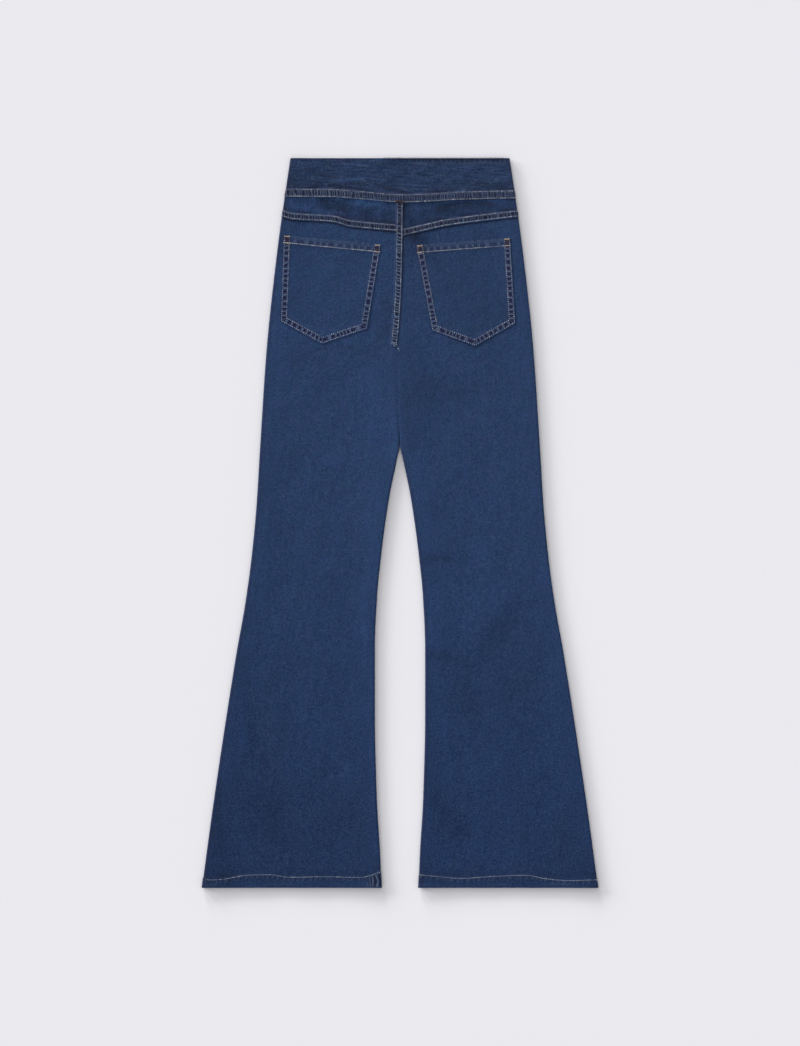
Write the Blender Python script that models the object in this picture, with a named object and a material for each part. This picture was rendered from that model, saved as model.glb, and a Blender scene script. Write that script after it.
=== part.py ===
"""Bootcut jeggings, laid flat on a surface with the back uppermost.

Metres, +Z up. +Y runs to the waist and -Y to the hems, and +X to the wearer's right. The origin is on
the surface, under the middle of the garment. "Down" is the distance from the waist's edge to the hems.

Each piece that is cut and sewn is a wall of its own. A leg is two panels, front and back, that bend
towards each other in quarter rounds and meet at the side seam and the inseam. The fronts lie flat on
the surface and the backs lie on them. A felled seam is a raised band along the edge of the piece
that laps, and it butts against the next piece.
"""
import math
from typing import Callable, NamedTuple

import bmesh
import bpy

# Driving dimensions, in metres
LENGTH = 1.050            # waist to hem
WALL = 0.0012             # stretch denim
BAND_WALL = 0.0018        # waistband: two layers of denim round an elastic
SEAM_GAP = 0.0003         # between pieces that are sewn together
EDGE_HEIGHT = 0.0050      # both layers at a side seam, from the surface to the top
MIDDLE_UNDERSIDE = 0.0023  # underside of the back layer away from the edges
BAND_UNDERSIDE = 0.0025   # underside of the back waistband
FRONT_BAND_DEPTH = 0.0565  # the front's waist seam is level
EDGE_SPREAD = 0.030       # how far in from a seam the back layer rises to it
FELL_WIDTH = 0.0106       # felled seam, for two rows of stitches 8.4 mm apart
BAND_FELL_WIDTH = 0.0128  # the waistband's, for two rows 10.6 mm apart
FELL_RISE = 0.0009        # height of a felled seam over its panel
FELL_SLOPE = 0.0013       # width of the step beside it
CROTCH_DOWN = 0.272       # end of the seat seam
CROTCH_BLEND = 0.012      # over which flat seam edges turn into round inseams
FORK_DOWN = 0.416         # where daylight starts between the legs
HEM_DEPTH = 0.0185        # turned-up hem
HEM_RISE = 0.0007
POCKET_WALL = 0.0011
POCKET_MOUTH_DEPTH = 0.0116
POCKET_FOLD_WIDTH = 0.0098
POCKET_RISE = 0.0005      # doubled cloth round a pocket

LEFT, RIGHT = -1, 1       # the wearer's sides, as signs of X
NAMES = {LEFT: "left", RIGHT: "right"}
DENIM = (0.021, 0.048, 0.122, 1.0)
DENIM_BAND = (0.018, 0.040, 0.105, 1.0)


class Station(NamedTuple):
    """A distance across the centre line at a distance down."""
    down: float
    across: float


class SeamPoint(NamedTuple):
    """A point of a seam that runs across the back."""
    across: float
    down: float


class Fold(NamedTuple):
    """A soft fold of the back layer: a ridge, or a trough where its height is negative."""
    across: float
    down: float
    end_across: float
    end_down: float
    width: float
    height: float


class Column(NamedTuple):
    """A line of a panel that runs down it, with its place across."""
    zone: str    # side, middle, fell or inner
    along: float


# Half of the width, from the centre line to the side seam
SIDE_SEAM = (
    Station(0.000, 0.1577), Station(0.045, 0.1645), Station(0.131, 0.1764), Station(0.275, 0.1920),
    Station(0.419, 0.2016), Station(0.500, 0.2066), Station(0.570, 0.2132), Station(0.640, 0.2226),
    Station(0.710, 0.2350), Station(0.850, 0.2570), Station(0.960, 0.2730), Station(LENGTH, 0.2850),
)
# Half of the gap between the legs
INSEAM = (
    Station(FORK_DOWN, 0.0003), Station(0.440, 0.0056), Station(0.491, 0.0158), Station(0.563, 0.0259),
    Station(0.635, 0.0331), Station(0.707, 0.0360), Station(0.800, 0.0360), Station(0.923, 0.0331),
    Station(1.000, 0.0285), Station(LENGTH, 0.0265),
)
# The edge of the left back over the right back, and below the crotch the parting of the thighs
SEAT_SEAM = (
    Station(0.000, 0.0046), Station(0.070, 0.0044), Station(0.180, 0.0024), Station(0.246, -0.0016),
    Station(CROTCH_DOWN, -0.0040), Station(0.310, -0.0036), Station(FORK_DOWN, 0.0),
)
WAIST_SEAM = (
    SeamPoint(-0.163, 0.0558), SeamPoint(-0.098, 0.0560), SeamPoint(-0.059, 0.0590),
    SeamPoint(0.006, 0.0634), SeamPoint(0.037, 0.0620), SeamPoint(0.088, 0.0590),
    SeamPoint(0.166, 0.0572),
)
YOKE_SEAM = {
    LEFT: (
        SeamPoint(-0.170, 0.0838), SeamPoint(-0.1555, 0.0881), SeamPoint(-0.097, 0.0918),
        SeamPoint(-0.072, 0.0985), SeamPoint(0.004, 0.1056),
    ),
    RIGHT: (
        SeamPoint(0.004, 0.1109), SeamPoint(0.037, 0.1033), SeamPoint(0.063, 0.0974),
        SeamPoint(0.101, 0.0918), SeamPoint(0.170, 0.0838),
    ),
}
# Corners of the pockets: across and down
POCKET_CORNERS = {
    LEFT: {
        "outer_top": (-0.1674, 0.1109), "inner_top": (-0.0278, 0.1244),
        "inner_bottom": (-0.0477, 0.2454), "tip": (-0.1121, 0.2673), "outer_bottom": (-0.1718, 0.2350),
    },
    RIGHT: {
        "outer_top": (0.1594, 0.1149), "inner_top": (0.0230, 0.1252),
        "inner_bottom": (0.0461, 0.2480), "tip": (0.1080, 0.2705), "outer_bottom": (0.1671, 0.2377),
    },
}
FOLDS = (
    Fold(0.022, 0.307, 0.094, 0.344, 0.026, -0.0004),
    Fold(-0.026, 0.318, -0.030, 0.560, 0.020, 0.0007),
    Fold(0.030, 0.330, 0.040, 0.500, 0.018, 0.0003),
    Fold(0.173, 0.652, 0.137, 0.707, 0.016, -0.0006),
    Fold(0.150, 0.640, 0.118, 0.690, 0.018, 0.0005),
    Fold(0.043, 0.713, 0.101, 0.743, 0.014, -0.0004),
    Fold(0.037, 0.916, 0.094, 0.977, 0.014, -0.0006),
    Fold(0.060, 0.905, 0.118, 0.965, 0.016, 0.0006),
    Fold(-0.223, 0.732, -0.206, 0.797, 0.016, -0.0006),
    Fold(-0.206, 0.797, -0.199, 0.868, 0.018, -0.0006),
    Fold(-0.199, 0.868, -0.200, 0.977, 0.018, -0.0006),
    Fold(-0.178, 0.790, -0.168, 0.900, 0.022, 0.0006),
    Fold(-0.200, 0.995, -0.155, 0.997, 0.020, -0.0004),
    Fold(-0.065, 0.866, -0.108, 0.894, 0.016, -0.0004),
    Fold(0.140, 0.820, 0.165, 0.960, 0.024, 0.0006),
    Fold(0.205, 0.780, 0.222, 0.930, 0.020, -0.0005),
    Fold(-0.110, 0.600, -0.125, 0.760, 0.026, 0.0004),
)

# Fineness of the walls
ARC_STEPS = 3
MIDDLE_STEPS = 12
FRONT_MIDDLE_STEPS = 6
LEG_ROW_PITCH = 0.025
FRONT_ROW_PITCH = 0.050
LEG_ROWS_START = 0.130

ARC_LENGTH = (EDGE_HEIGHT - WALL) / 2.0 * math.pi / 2.0


def smooth(rows, place: float) -> float:
    """Read a smooth curve through a table's rows, whose first column is the place."""
    knots = [(row.down, row.across) if isinstance(row, Station) else tuple(row) for row in rows]
    if place <= knots[0][0]:
        return knots[0][1]
    if place >= knots[-1][0]:
        return knots[-1][1]
    slopes = [(b[1] - a[1]) / (b[0] - a[0]) for a, b in zip(knots, knots[1:])]
    tangents = [slopes[0]]
    for before, after in zip(slopes, slopes[1:]):
        tangents.append(0.0 if before * after <= 0.0 else 2.0 * before * after / (before + after))
    tangents.append(slopes[-1])
    for index, (start, end) in enumerate(zip(knots, knots[1:])):
        if place <= end[0]:
            break
    span = end[0] - start[0]
    t = (place - start[0]) / span
    return (start[1] * (2 * t ** 3 - 3 * t ** 2 + 1) + tangents[index] * span * (t ** 3 - 2 * t ** 2 + t)
            + end[1] * (3 * t ** 2 - 2 * t ** 3) + tangents[index + 1] * span * (t ** 3 - t ** 2))


def mix(first: float, second: float, share: float) -> float:
    """Blend two numbers."""
    return first + (second - first) * share


def ease(low: float, high: float, value: float) -> float:
    """Rise smoothly from 0 at low to 1 at high."""
    t = min(1.0, max(0.0, (value - low) / (high - low)))
    return t * t * (3.0 - 2.0 * t)


def outer_edge(side: int, down: float) -> float:
    """X of the side seam's outermost line."""
    return side * smooth(SIDE_SEAM, down)


def inner_edge(side: int, down: float) -> float:
    """X of a panel's edge at the seat seam, or of the inseam below the crotch."""
    gap = smooth(INSEAM, down) if down > FORK_DOWN else 0.0
    return smooth(SEAT_SEAM, down) + side * (SEAM_GAP / 2.0 + gap)


def inseam_bend(down: float) -> float:
    """How far a panel's inner edge bends to the other layer: 0 on the seat seam, 1 on the inseam."""
    return ease(CROTCH_DOWN - CROTCH_BLEND, CROTCH_DOWN + CROTCH_BLEND, down)


def inseam_lift(down: float) -> float:
    """How far the back's inner edge has risen to the inseam's height, before it starts to bend."""
    return ease(CROTCH_DOWN - 4.0 * CROTCH_BLEND, CROTCH_DOWN - CROTCH_BLEND, down)


def arc_starts(side: int, down: float) -> tuple[float, float]:
    """X where a panel's bends at its outer and inner edges start."""
    inner_reach = mix(ARC_LENGTH, EDGE_HEIGHT / 2.0, inseam_bend(down))
    return outer_edge(side, down) - side * EDGE_HEIGHT / 2.0, inner_edge(side, down) + side * inner_reach


def fold_height(across: float, down: float) -> float:
    """Sum of the soft folds at a point of the back layer."""
    total = 0.0
    for fold in FOLDS:
        run_x = fold.end_across - fold.across
        run_y = fold.end_down - fold.down
        share = ((across - fold.across) * run_x + (down - fold.down) * run_y) / (run_x ** 2 + run_y ** 2)
        share = min(1.0, max(0.0, share))
        distance = math.hypot(across - fold.across - share * run_x, down - fold.down - share * run_y)
        total += fold.height * math.exp(-(distance / fold.width) ** 2)
    return total


def back_underside(side: int, across: float, down: float) -> float:
    """Height of the underside of a back panel of plain wall thickness."""
    outer_start, inner_start = arc_starts(side, down)
    at_outer = math.exp(-((across - outer_start) / EDGE_SPREAD) ** 2)
    at_inner = math.exp(-((across - inner_start) / EDGE_SPREAD) ** 2) * inseam_lift(down)
    edge = at_outer + at_inner - at_outer * at_inner
    middle = MIDDLE_UNDERSIDE + fold_height(across, down)
    return mix(middle, EDGE_HEIGHT - WALL, edge)


def band_underside(across: float, down: float) -> float:
    """Height of the underside of the back waistband."""
    side = LEFT if across < 0.0 else RIGHT
    distance = across - (outer_edge(side, down) - side * EDGE_HEIGHT / 2.0)
    return mix(BAND_UNDERSIDE, EDGE_HEIGHT - BAND_WALL, math.exp(-(distance / EDGE_SPREAD) ** 2))


def seat_fell(side: int, down: float) -> float:
    """Share of the felled seam's rise on the left panel's edge, which fades at the crotch."""
    return 0.0 if side == RIGHT else 1.0 - ease(CROTCH_DOWN - 0.008, CROTCH_DOWN + 0.004, down)


def columns(middle_steps: int) -> list[Column]:
    """Lines down a leg or yoke panel, from its side seam to its inner edge."""
    found = [Column("side", 1.0 - step / ARC_STEPS) for step in range(ARC_STEPS)]
    for step in range(middle_steps + 1):
        share = step / middle_steps
        found.append(Column("middle", mix(share, 0.5 - 0.5 * math.cos(math.pi * share), 0.5)))
    found.append(Column("fell", FELL_WIDTH))
    found += [Column("inner", step / ARC_STEPS) for step in range(ARC_STEPS + 1)]
    return found


def bend(start: float, height: float, outwards: int, towards: int, turn: float, share: float,
         wall: float) -> tuple[tuple[float, float], tuple[float, float]]:
    """Points on both faces of a wall that leaves a flat run in a round bend.

    start and height are the bend's first point on the wall's neutral line, outwards is the sign of X
    that it runs in, towards the sign of Z that it turns to, and turn its whole angle.
    """
    length = (EDGE_HEIGHT - wall) / 2.0 * math.pi / 2.0
    if turn < 0.001:
        x, z, angle = start + outwards * length * share, height, 0.0
    else:
        angle = turn * share
        radius = length / turn
        x = start + outwards * radius * math.sin(angle)
        z = height + towards * radius * (1.0 - math.cos(angle))
    offset_x = outwards * math.sin(angle) * wall / 2.0
    offset_z = -towards * math.cos(angle) * wall / 2.0
    return (x + offset_x, z + offset_z), (x - offset_x, z - offset_z)


def to_world(across: float, down: float, height: float) -> tuple[float, float, float]:
    """Place a point given by its distances across, down and up."""
    return across, LENGTH / 2.0 - down, height


def panel_point(side: int, is_back: bool, column: Column, down: float, rise: float):
    """Return the points on the outside and the inside of a leg or yoke panel's wall.

    rise is what a felled seam or a hem adds to the outside of the wall.
    """
    towards = -1 if is_back else 1
    seam_level = EDGE_HEIGHT / 2.0 - towards * SEAM_GAP / 2.0
    outer_start, inner_start = arc_starts(side, down)
    rise = max(rise, FELL_RISE * seat_fell(side, down) if column.zone in ("fell", "inner") else 0.0)
    if column.zone in ("middle", "fell"):
        foot = inner_start + side * (FELL_WIDTH + FELL_SLOPE - ARC_LENGTH)
        if column.zone == "middle":
            across = mix(outer_start, foot, column.along)
        else:
            across = foot - side * FELL_SLOPE
        inside = back_underside(side, across, down) if is_back else WALL
        outside = inside + WALL + rise if is_back else 0.0
        return to_world(across, down, outside), to_world(across, down, inside)
    at_inner = column.zone == "inner"
    start = inner_start if at_inner else outer_start
    turn = (inseam_bend(down) if at_inner else 1.0) * math.pi / 2.0
    base = back_underside(side, start, down) + WALL / 2.0 if is_back else WALL / 2.0
    outwards = -side if at_inner else side
    outside, inside = bend(start, base, outwards, towards, turn, column.along, WALL)
    if is_back:
        outside = (outside[0], outside[1] + rise)
    if column.along == 1.0:
        clear = max if is_back else min
        outside = (outside[0], clear(outside[1], seam_level))
        inside = (inside[0], clear(inside[1], seam_level))
    return to_world(outside[0], down, outside[1]), to_world(inside[0], down, inside[1])


def seam_down(side: int, column: Column, seam: Callable[[float], float]) -> float:
    """Find how far down a column meets a seam that is given by its distance across."""
    down = seam(side * 0.08)
    for _ in range(4):
        outside, _inside = panel_point(side, True, column, down, 0.0)
        down = seam(outside[0])
    return down


def waist_seam(across: float) -> float:
    """Distance down of the waistband's lower edge on the back."""
    return smooth(WAIST_SEAM, across)


def yoke_seam(side: int) -> Callable[[float], float]:
    """Distance down of a yoke's lower edge, as a function of the distance across."""
    return lambda across: smooth(YOKE_SEAM[side], across)


def wall_object(name: str, outside: list, inside: list, colour: tuple) -> bpy.types.Object:
    """Make a closed wall from two grids of points, and give it a denim material."""
    rows, count = len(outside), len(outside[0])
    shape = bmesh.new()
    faces = []
    grids = [[[shape.verts.new(point) for point in row] for row in grid] for grid in (outside, inside)]
    for row in range(rows - 1):
        for col in range(count - 1):
            cell = ((row, col), (row, col + 1), (row + 1, col + 1), (row + 1, col))
            faces.append([grids[0][r][c] for r, c in cell])
            faces.append([grids[1][r][c] for r, c in reversed(cell)])
    border = [(0, col) for col in range(count)] + [(row, count - 1) for row in range(1, rows)]
    border += [(rows - 1, col) for col in range(count - 2, -1, -1)] + [(row, 0) for row in range(rows - 2, 0, -1)]
    for here, there in zip(border, border[1:] + border[:1]):
        faces.append([grids[0][here[0]][here[1]], grids[1][here[0]][here[1]],
                      grids[1][there[0]][there[1]], grids[0][there[0]][there[1]]])
    for face in faces:
        shape.faces.new(face)
    bmesh.ops.recalc_face_normals(shape, faces=shape.faces)
    mesh = bpy.data.meshes.new(name)
    shape.to_mesh(mesh)
    shape.free()
    mesh.shade_smooth()
    mesh.set_sharp_from_angle(angle=math.radians(35.0))
    material = bpy.data.materials.new(name)
    material.use_nodes = True
    surface = material.node_tree.nodes["Principled BSDF"]
    surface.inputs["Base Color"].default_value = colour
    surface.inputs["Roughness"].default_value = 0.85
    surface.inputs["Metallic"].default_value = 0.0
    mesh.materials.append(material)
    made = bpy.data.objects.new(name, mesh)
    bpy.context.scene.collection.objects.link(made)
    return made


def panel(name: str, side: int, is_back: bool, middle_steps: int, row_places: list) -> bpy.types.Object:
    """Make a leg or yoke panel.

    row_places holds one function for each row, which takes a column and returns its distance down
    and the rise of the wall there.
    """
    outside, inside = [], []
    for place in row_places:
        points = [panel_point(side, is_back, column, *place(column)) for column in columns(middle_steps)]
        outside.append([point[0] for point in points])
        inside.append([point[1] for point in points])
    return wall_object(name, outside, inside, DENIM)


def yoke(side: int) -> bpy.types.Object:
    """Make a back yoke, which is felled over the leg along its lower edge."""
    lower = yoke_seam(side)

    def row(share: float, above: float, rise: float):
        """A row a share of the way to the felled seam, and a distance above past it."""
        def place(column: Column):
            """Distance down of this row on a column, and its rise."""
            top = seam_down(side, column, waist_seam) + SEAM_GAP
            bottom = seam_down(side, column, lower)
            return mix(top, bottom - FELL_WIDTH - FELL_SLOPE, share) + above, rise
        return place

    rows = [row(share / 3.0, 0.0, 0.0) for share in range(4)]
    rows.append(row(1.0, FELL_SLOPE, FELL_RISE))
    rows.append(row(1.0, FELL_SLOPE + FELL_WIDTH / 2.0, FELL_RISE))
    rows.append(row(1.0, FELL_SLOPE + FELL_WIDTH, FELL_RISE))
    return panel(f"back_yoke_{NAMES[side]}", side, True, MIDDLE_STEPS, rows)


def hem_rows(is_back: bool) -> list:
    """Rows of the turned-up hem, the same on all panels."""
    rise = HEM_RISE if is_back else 0.0
    top = LENGTH - HEM_DEPTH
    places = [(top, 0.0), (top + FELL_SLOPE, rise), (LENGTH - HEM_DEPTH / 2.0, rise), (LENGTH, rise)]
    return [lambda column, place=place: place for place in places]


def even_rows(start: float, pitch: float) -> list:
    """Rows of a leg that lie straight across, evenly spaced down to just above the hem."""
    end = LENGTH - HEM_DEPTH
    count = round((end - start) / pitch)
    downs = [mix(start, end, step / count) for step in range(count)]
    return [lambda column, down=down: (down, 0.0) for down in downs]


def back_leg(side: int) -> bpy.types.Object:
    """Make a back leg panel, from the yoke seam to the hem."""
    seam = yoke_seam(side)

    def top_row(share: float):
        """A row between the yoke seam and the first straight row."""
        def place(column: Column):
            """Distance down of this row on a column, and its rise."""
            top = seam_down(side, column, seam) + SEAM_GAP
            return mix(top, LEG_ROWS_START, share), 0.0
        return place

    rows = [top_row(0.0), top_row(0.5)]
    rows += even_rows(LEG_ROWS_START, LEG_ROW_PITCH) + hem_rows(True)
    return panel(f"back_leg_{NAMES[side]}", side, True, MIDDLE_STEPS, rows)


def front_leg(side: int) -> bpy.types.Object:
    """Make a front leg panel, flat on the surface, from the front waist seam to the hem."""
    rows = [lambda column: (FRONT_BAND_DEPTH + SEAM_GAP, 0.0)]
    rows += even_rows(LEG_ROWS_START, FRONT_ROW_PITCH) + hem_rows(False)
    return panel(f"front_leg_{NAMES[side]}", side, False, FRONT_MIDDLE_STEPS, rows)


def waistband_row(is_back: bool, share: float, above: float, rise: float, middle_steps: int):
    """Return the outside and inside points of one row of a waistband half, from side to side."""
    towards = -1 if is_back else 1
    seam_level = EDGE_HEIGHT / 2.0 - towards * SEAM_GAP / 2.0
    sweep = [(LEFT, 1.0 - step / ARC_STEPS) for step in range(ARC_STEPS)]
    outside, inside = [], []

    def lower_edge(across: float) -> float:
        """Distance down of this half's lower edge, level on the front."""
        return waist_seam(across) if is_back else FRONT_BAND_DEPTH

    def down_at(across: float) -> float:
        """Distance down of this row."""
        return (lower_edge(across) - BAND_FELL_WIDTH - FELL_SLOPE) * share + above

    for side, along in sweep + [(RIGHT, step / ARC_STEPS) for step in range(1, ARC_STEPS + 1)]:
        down = down_at(side * 0.165)
        start = outer_edge(side, down) - side * EDGE_HEIGHT / 2.0
        base = band_underside(start, down) + BAND_WALL / 2.0 if is_back else BAND_WALL / 2.0
        outer, inner = bend(start, base, side, towards, math.pi / 2.0, along, BAND_WALL)
        if is_back:
            outer = (outer[0], outer[1] + rise * (1.0 - along))
        if along == 1.0:
            outer, inner = (outer[0], seam_level), (inner[0], seam_level)
        outside.append(to_world(outer[0], down, outer[1]))
        inside.append(to_world(inner[0], down, inner[1]))
    middle_out, middle_in = [], []
    for step in range(middle_steps + 1):
        down = down_at(0.0)
        for _ in range(3):
            left, right = (outer_edge(s, down) - s * EDGE_HEIGHT / 2.0 for s in (LEFT, RIGHT))
            across = mix(left, right, step / middle_steps)
            down = down_at(across)
        low = band_underside(across, down) if is_back else BAND_WALL
        high = low + BAND_WALL + rise if is_back else 0.0
        middle_out.append(to_world(across, down, high))
        middle_in.append(to_world(across, down, low))
    return (outside[:ARC_STEPS] + middle_out + outside[ARC_STEPS:],
            inside[:ARC_STEPS] + middle_in + inside[ARC_STEPS:])


def waistband(is_back: bool) -> bpy.types.Object:
    """Make the back or the front half of the waistband."""
    rise = FELL_RISE if is_back else 0.0
    steps = 2 * MIDDLE_STEPS if is_back else FRONT_MIDDLE_STEPS
    places = [(0.0, 0.0, 0.0), (0.5, 0.0, 0.0), (1.0, 0.0, 0.0), (1.0, FELL_SLOPE, rise),
              (1.0, FELL_SLOPE + BAND_FELL_WIDTH, rise)]
    rows = [waistband_row(is_back, *place, steps) for place in places]
    name = "waistband_back" if is_back else "waistband_front"
    return wall_object(name, [row[0] for row in rows], [row[1] for row in rows], DENIM_BAND)


def pocket(side: int) -> bpy.types.Object:
    """Make a patch pocket that lies on a back leg, raised where its cloth is folded in."""
    corner = POCKET_CORNERS[side]
    width = math.dist(corner["outer_top"], corner["inner_top"])
    depth = math.dist(corner["inner_top"], corner["inner_bottom"])
    fold_u, fold_v, mouth = POCKET_FOLD_WIDTH / width, POCKET_FOLD_WIDTH / depth, POCKET_MOUTH_DEPTH / depth
    slope_u, slope_v = FELL_SLOPE / width, FELL_SLOPE / depth
    tip_share = 0.45 if side == LEFT else 0.49
    across_shares = [0.0, fold_u, fold_u + slope_u, 0.22, 0.34, 1.0 - tip_share, 0.68, 0.80,
                     1.0 - fold_u - slope_u, 1.0 - fold_u, 1.0]
    down_shares = [0.0, mouth, mouth + slope_v, 0.2, 0.35, 0.5, 0.65, 0.8, 1.0 - fold_v - slope_v,
                   1.0 - fold_v, 1.0]
    outside, inside = [], []
    for v in down_shares:
        over, under = [], []
        for u in across_shares:
            top = [mix(a, b, u) for a, b in zip(corner["outer_top"], corner["inner_top"])]
            at_tip = across_shares[5]
            if u <= at_tip:
                low = [mix(a, b, u / at_tip) for a, b in zip(corner["outer_bottom"], corner["tip"])]
            else:
                share = (u - at_tip) / (1.0 - at_tip)
                low = [mix(a, b, share) for a, b in zip(corner["tip"], corner["inner_bottom"])]
            across, down = mix(top[0], low[0], v), mix(top[1], low[1], v)
            folded = min(u, 1.0 - u) <= fold_u or v <= mouth or v >= 1.0 - fold_v
            base = back_underside(side, across, down) + WALL + SEAM_GAP
            under.append(to_world(across, down, base))
            over.append(to_world(across, down, base + POCKET_WALL + (POCKET_RISE if folded else 0.0)))
        outside.append(over)
        inside.append(under)
    return wall_object(f"back_pocket_{NAMES[side]}", outside, inside, DENIM)


def build() -> None:
    """Clear the scene and make every piece."""
    for existing in list(bpy.data.objects):
        bpy.data.objects.remove(existing)
    waistband(True)
    waistband(False)
    for side in (LEFT, RIGHT):
        yoke(side)
        back_leg(side)
        front_leg(side)
        pocket(side)


build()
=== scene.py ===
"""Bootcut jeggings laid flat with the back up: the denim, its sewing and a plain studio.

Metres, +Z up, +Y to the waist, +X to the wearer's right. "Across" is measured from the centre line and
"down" from the waist's edge. Each piece of cloth is a closed shell on the form of its solid, with the
creases, the gathers along its seams, the wear on them and painted shade and light worked into its mesh.
"""
from __future__ import annotations

import logging
import math
from dataclasses import dataclass, field, replace
from enum import Enum
from typing import Any, NamedTuple, Sequence

import bpy
import numpy as np
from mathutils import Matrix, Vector
from mathutils.bvhtree import BVHTree


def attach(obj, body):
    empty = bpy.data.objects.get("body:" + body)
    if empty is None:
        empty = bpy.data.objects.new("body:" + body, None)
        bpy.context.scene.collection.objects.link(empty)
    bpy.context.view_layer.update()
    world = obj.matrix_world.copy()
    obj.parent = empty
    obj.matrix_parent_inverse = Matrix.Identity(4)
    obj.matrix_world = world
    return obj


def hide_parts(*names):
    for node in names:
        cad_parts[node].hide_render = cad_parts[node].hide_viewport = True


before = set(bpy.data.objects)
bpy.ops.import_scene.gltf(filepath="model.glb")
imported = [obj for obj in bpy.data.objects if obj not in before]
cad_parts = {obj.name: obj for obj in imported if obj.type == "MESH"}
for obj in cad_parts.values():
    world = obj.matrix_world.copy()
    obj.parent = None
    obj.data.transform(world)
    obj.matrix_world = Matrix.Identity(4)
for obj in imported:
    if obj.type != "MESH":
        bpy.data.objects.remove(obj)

LOG = logging.getLogger("jeggings")
Array = np.ndarray
Point = tuple[float, float]
Point3 = tuple[float, float, float]
Colour = tuple[float, float, float, float]
BODY = "root"
MM_PER_M = 1000.0
# A row of stitches that lies well off its piece
OFF_PIECE = -0.02


class Side(Enum):
    """The wearer's sides, by the sign of X."""

    LEFT = -1
    RIGHT = 1

    @property
    def sign(self) -> int:
        """Sign of X on this side."""
        return self.value

    @property
    def word(self) -> str:
        """The side's name in piece names."""
        return self.name.lower()


class Layer(Enum):
    """The two layers of cloth; the front lies on the floor."""

    FRONT = 1
    BACK = -1

    @property
    def towards(self) -> int:
        """Sign of Z in which the layer's edges bend to meet the other layer."""
        return self.value


class Grain(Enum):
    """Which way the warp runs."""

    DOWN = "down"
    ACROSS = "across"


class Crease(NamedTuple):
    """A soft ridge of the cloth, or a trough where its height is negative."""

    across: float
    down: float
    end_across: float
    end_down: float
    width: float
    height: float


class Gather(NamedTuple):
    """Puckers that a seam's stitches draw up.

    near and far are the rows' distances from the seam's edge, slant is how far a pucker leans along
    the seam for each metre across it, and reach is how far the drag lines run on past the rows. The
    puckers of a marked seam show in its colour too, rubbed pale on their crests and darkened with dye and
    painted shade in their troughs. The troughs of the drag lines get painted shade.
    """

    pitch: float
    height: float
    near: float
    far: float
    slant: float
    reach: float
    seed: int
    marked: bool = True

    def beyond(self, height: float, reach: float) -> Gather:
        """The drag lines alone, for the cloth beside the seam."""
        return self._replace(marked=False, near=OFF_PIECE, far=0.0, height=height, reach=reach)


# ------------------------------------------------------------------------------------- numbers

def ease(low: float, high: float, value: Array) -> Array:
    """Rise smoothly from 0 at low to 1 at high."""
    share = np.clip((np.asarray(value, dtype=float) - low) / (high - low), 0.0, 1.0)
    return share * share * (3.0 - 2.0 * share)


def fade(low: float, high: float, value: Array) -> Array:
    """Fall smoothly from 1 at low to 0 at high."""
    return 1.0 - ease(low, high, value)


def bell(offset: Array, width: float) -> Array:
    """1 where the offset is 0, falling smoothly away to either side."""
    return np.exp(-(offset / width) ** 2)


def mix(first: Any, second: Any, share: Any) -> Any:
    """Blend two numbers or arrays."""
    return first + (second - first) * share


def wobble(place: Array, period: float, seed: int) -> Array:
    """Wander between about -1 and 1 along a line.

    Args:
        place: distances along the line.
        period: typical distance from one high to the next.
        seed: picks the wander.
    """
    draw = np.random.default_rng(seed)
    waves = 6
    total = np.zeros_like(np.asarray(place, dtype=float))
    for _ in range(waves):
        wave = period * draw.uniform(0.6, 2.2)
        total += np.sin(2.0 * math.pi * place / wave + draw.uniform(0.0, 2.0 * math.pi))
    return total / waves * 1.8


def undulate(across: Array, down: Array, size: float, stretch: float, seed: int) -> Array:
    """Wander between about -1 and 1 over a surface.

    Args:
        across: distances across.
        down: distances down.
        size: typical size of a swell across the cloth.
        stretch: how many times longer a swell is down the cloth than across it.
        seed: picks the wander.
    """
    draw = np.random.default_rng(seed)
    waves = 18
    total = np.zeros_like(across)
    for _ in range(waves):
        angle = draw.uniform(0.0, 2.0 * math.pi)
        wave = size * draw.uniform(0.6, 1.9)
        run = across * math.cos(angle) + down / stretch * math.sin(angle)
        total += np.sin(2.0 * math.pi * run / wave + draw.uniform(0.0, 2.0 * math.pi))
    return total / math.sqrt(waves)


class Curve:
    """A smooth curve through a table's points that keeps the table's rises and falls."""

    def __init__(self, table: Sequence[Point]) -> None:
        """Store the table, a place and a value in each row, with the places rising."""
        self.places = np.array([row[0] for row in table])
        self.values = np.array([row[1] for row in table])
        slopes = np.diff(self.values) / np.diff(self.places)
        inner = slopes[:-1] * slopes[1:]
        total = np.where(inner > 0.0, slopes[:-1] + slopes[1:], 1.0)
        middle = np.where(inner > 0.0, 2.0 * inner / total, 0.0)
        self.tangents = np.concatenate((slopes[:1], middle, slopes[-1:]))

    def __call__(self, place: Any) -> Array:
        """Return the curve's value at a place or at an array of places."""
        place = np.clip(place, self.places[0], self.places[-1])
        index = np.clip(np.searchsorted(self.places, place) - 1, 0, len(self.places) - 2)
        span = self.places[index + 1] - self.places[index]
        t = (place - self.places[index]) / span
        return (self.values[index] * (2 * t ** 3 - 3 * t ** 2 + 1)
                + self.tangents[index] * span * (t ** 3 - 2 * t ** 2 + t)
                + self.values[index + 1] * (3 * t ** 2 - 2 * t ** 3)
                + self.tangents[index + 1] * span * (t ** 3 - t ** 2))


def spaced(start: float, end: float, pitch: float) -> list[float]:
    """Even places from start up to, and without, end, about a pitch apart."""
    count = max(1, round((end - start) / pitch))
    return [mix(start, end, step / count) for step in range(count)]


def crowded(start: float, end: float, count: int) -> list[float]:
    """Places from start up to, and without, end, a little closer together at the start."""
    power = 1.25
    return [mix(start, end, (step / count) ** power) for step in range(count)]


# --------------------------------------------------------------------------------------- sizes

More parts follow.
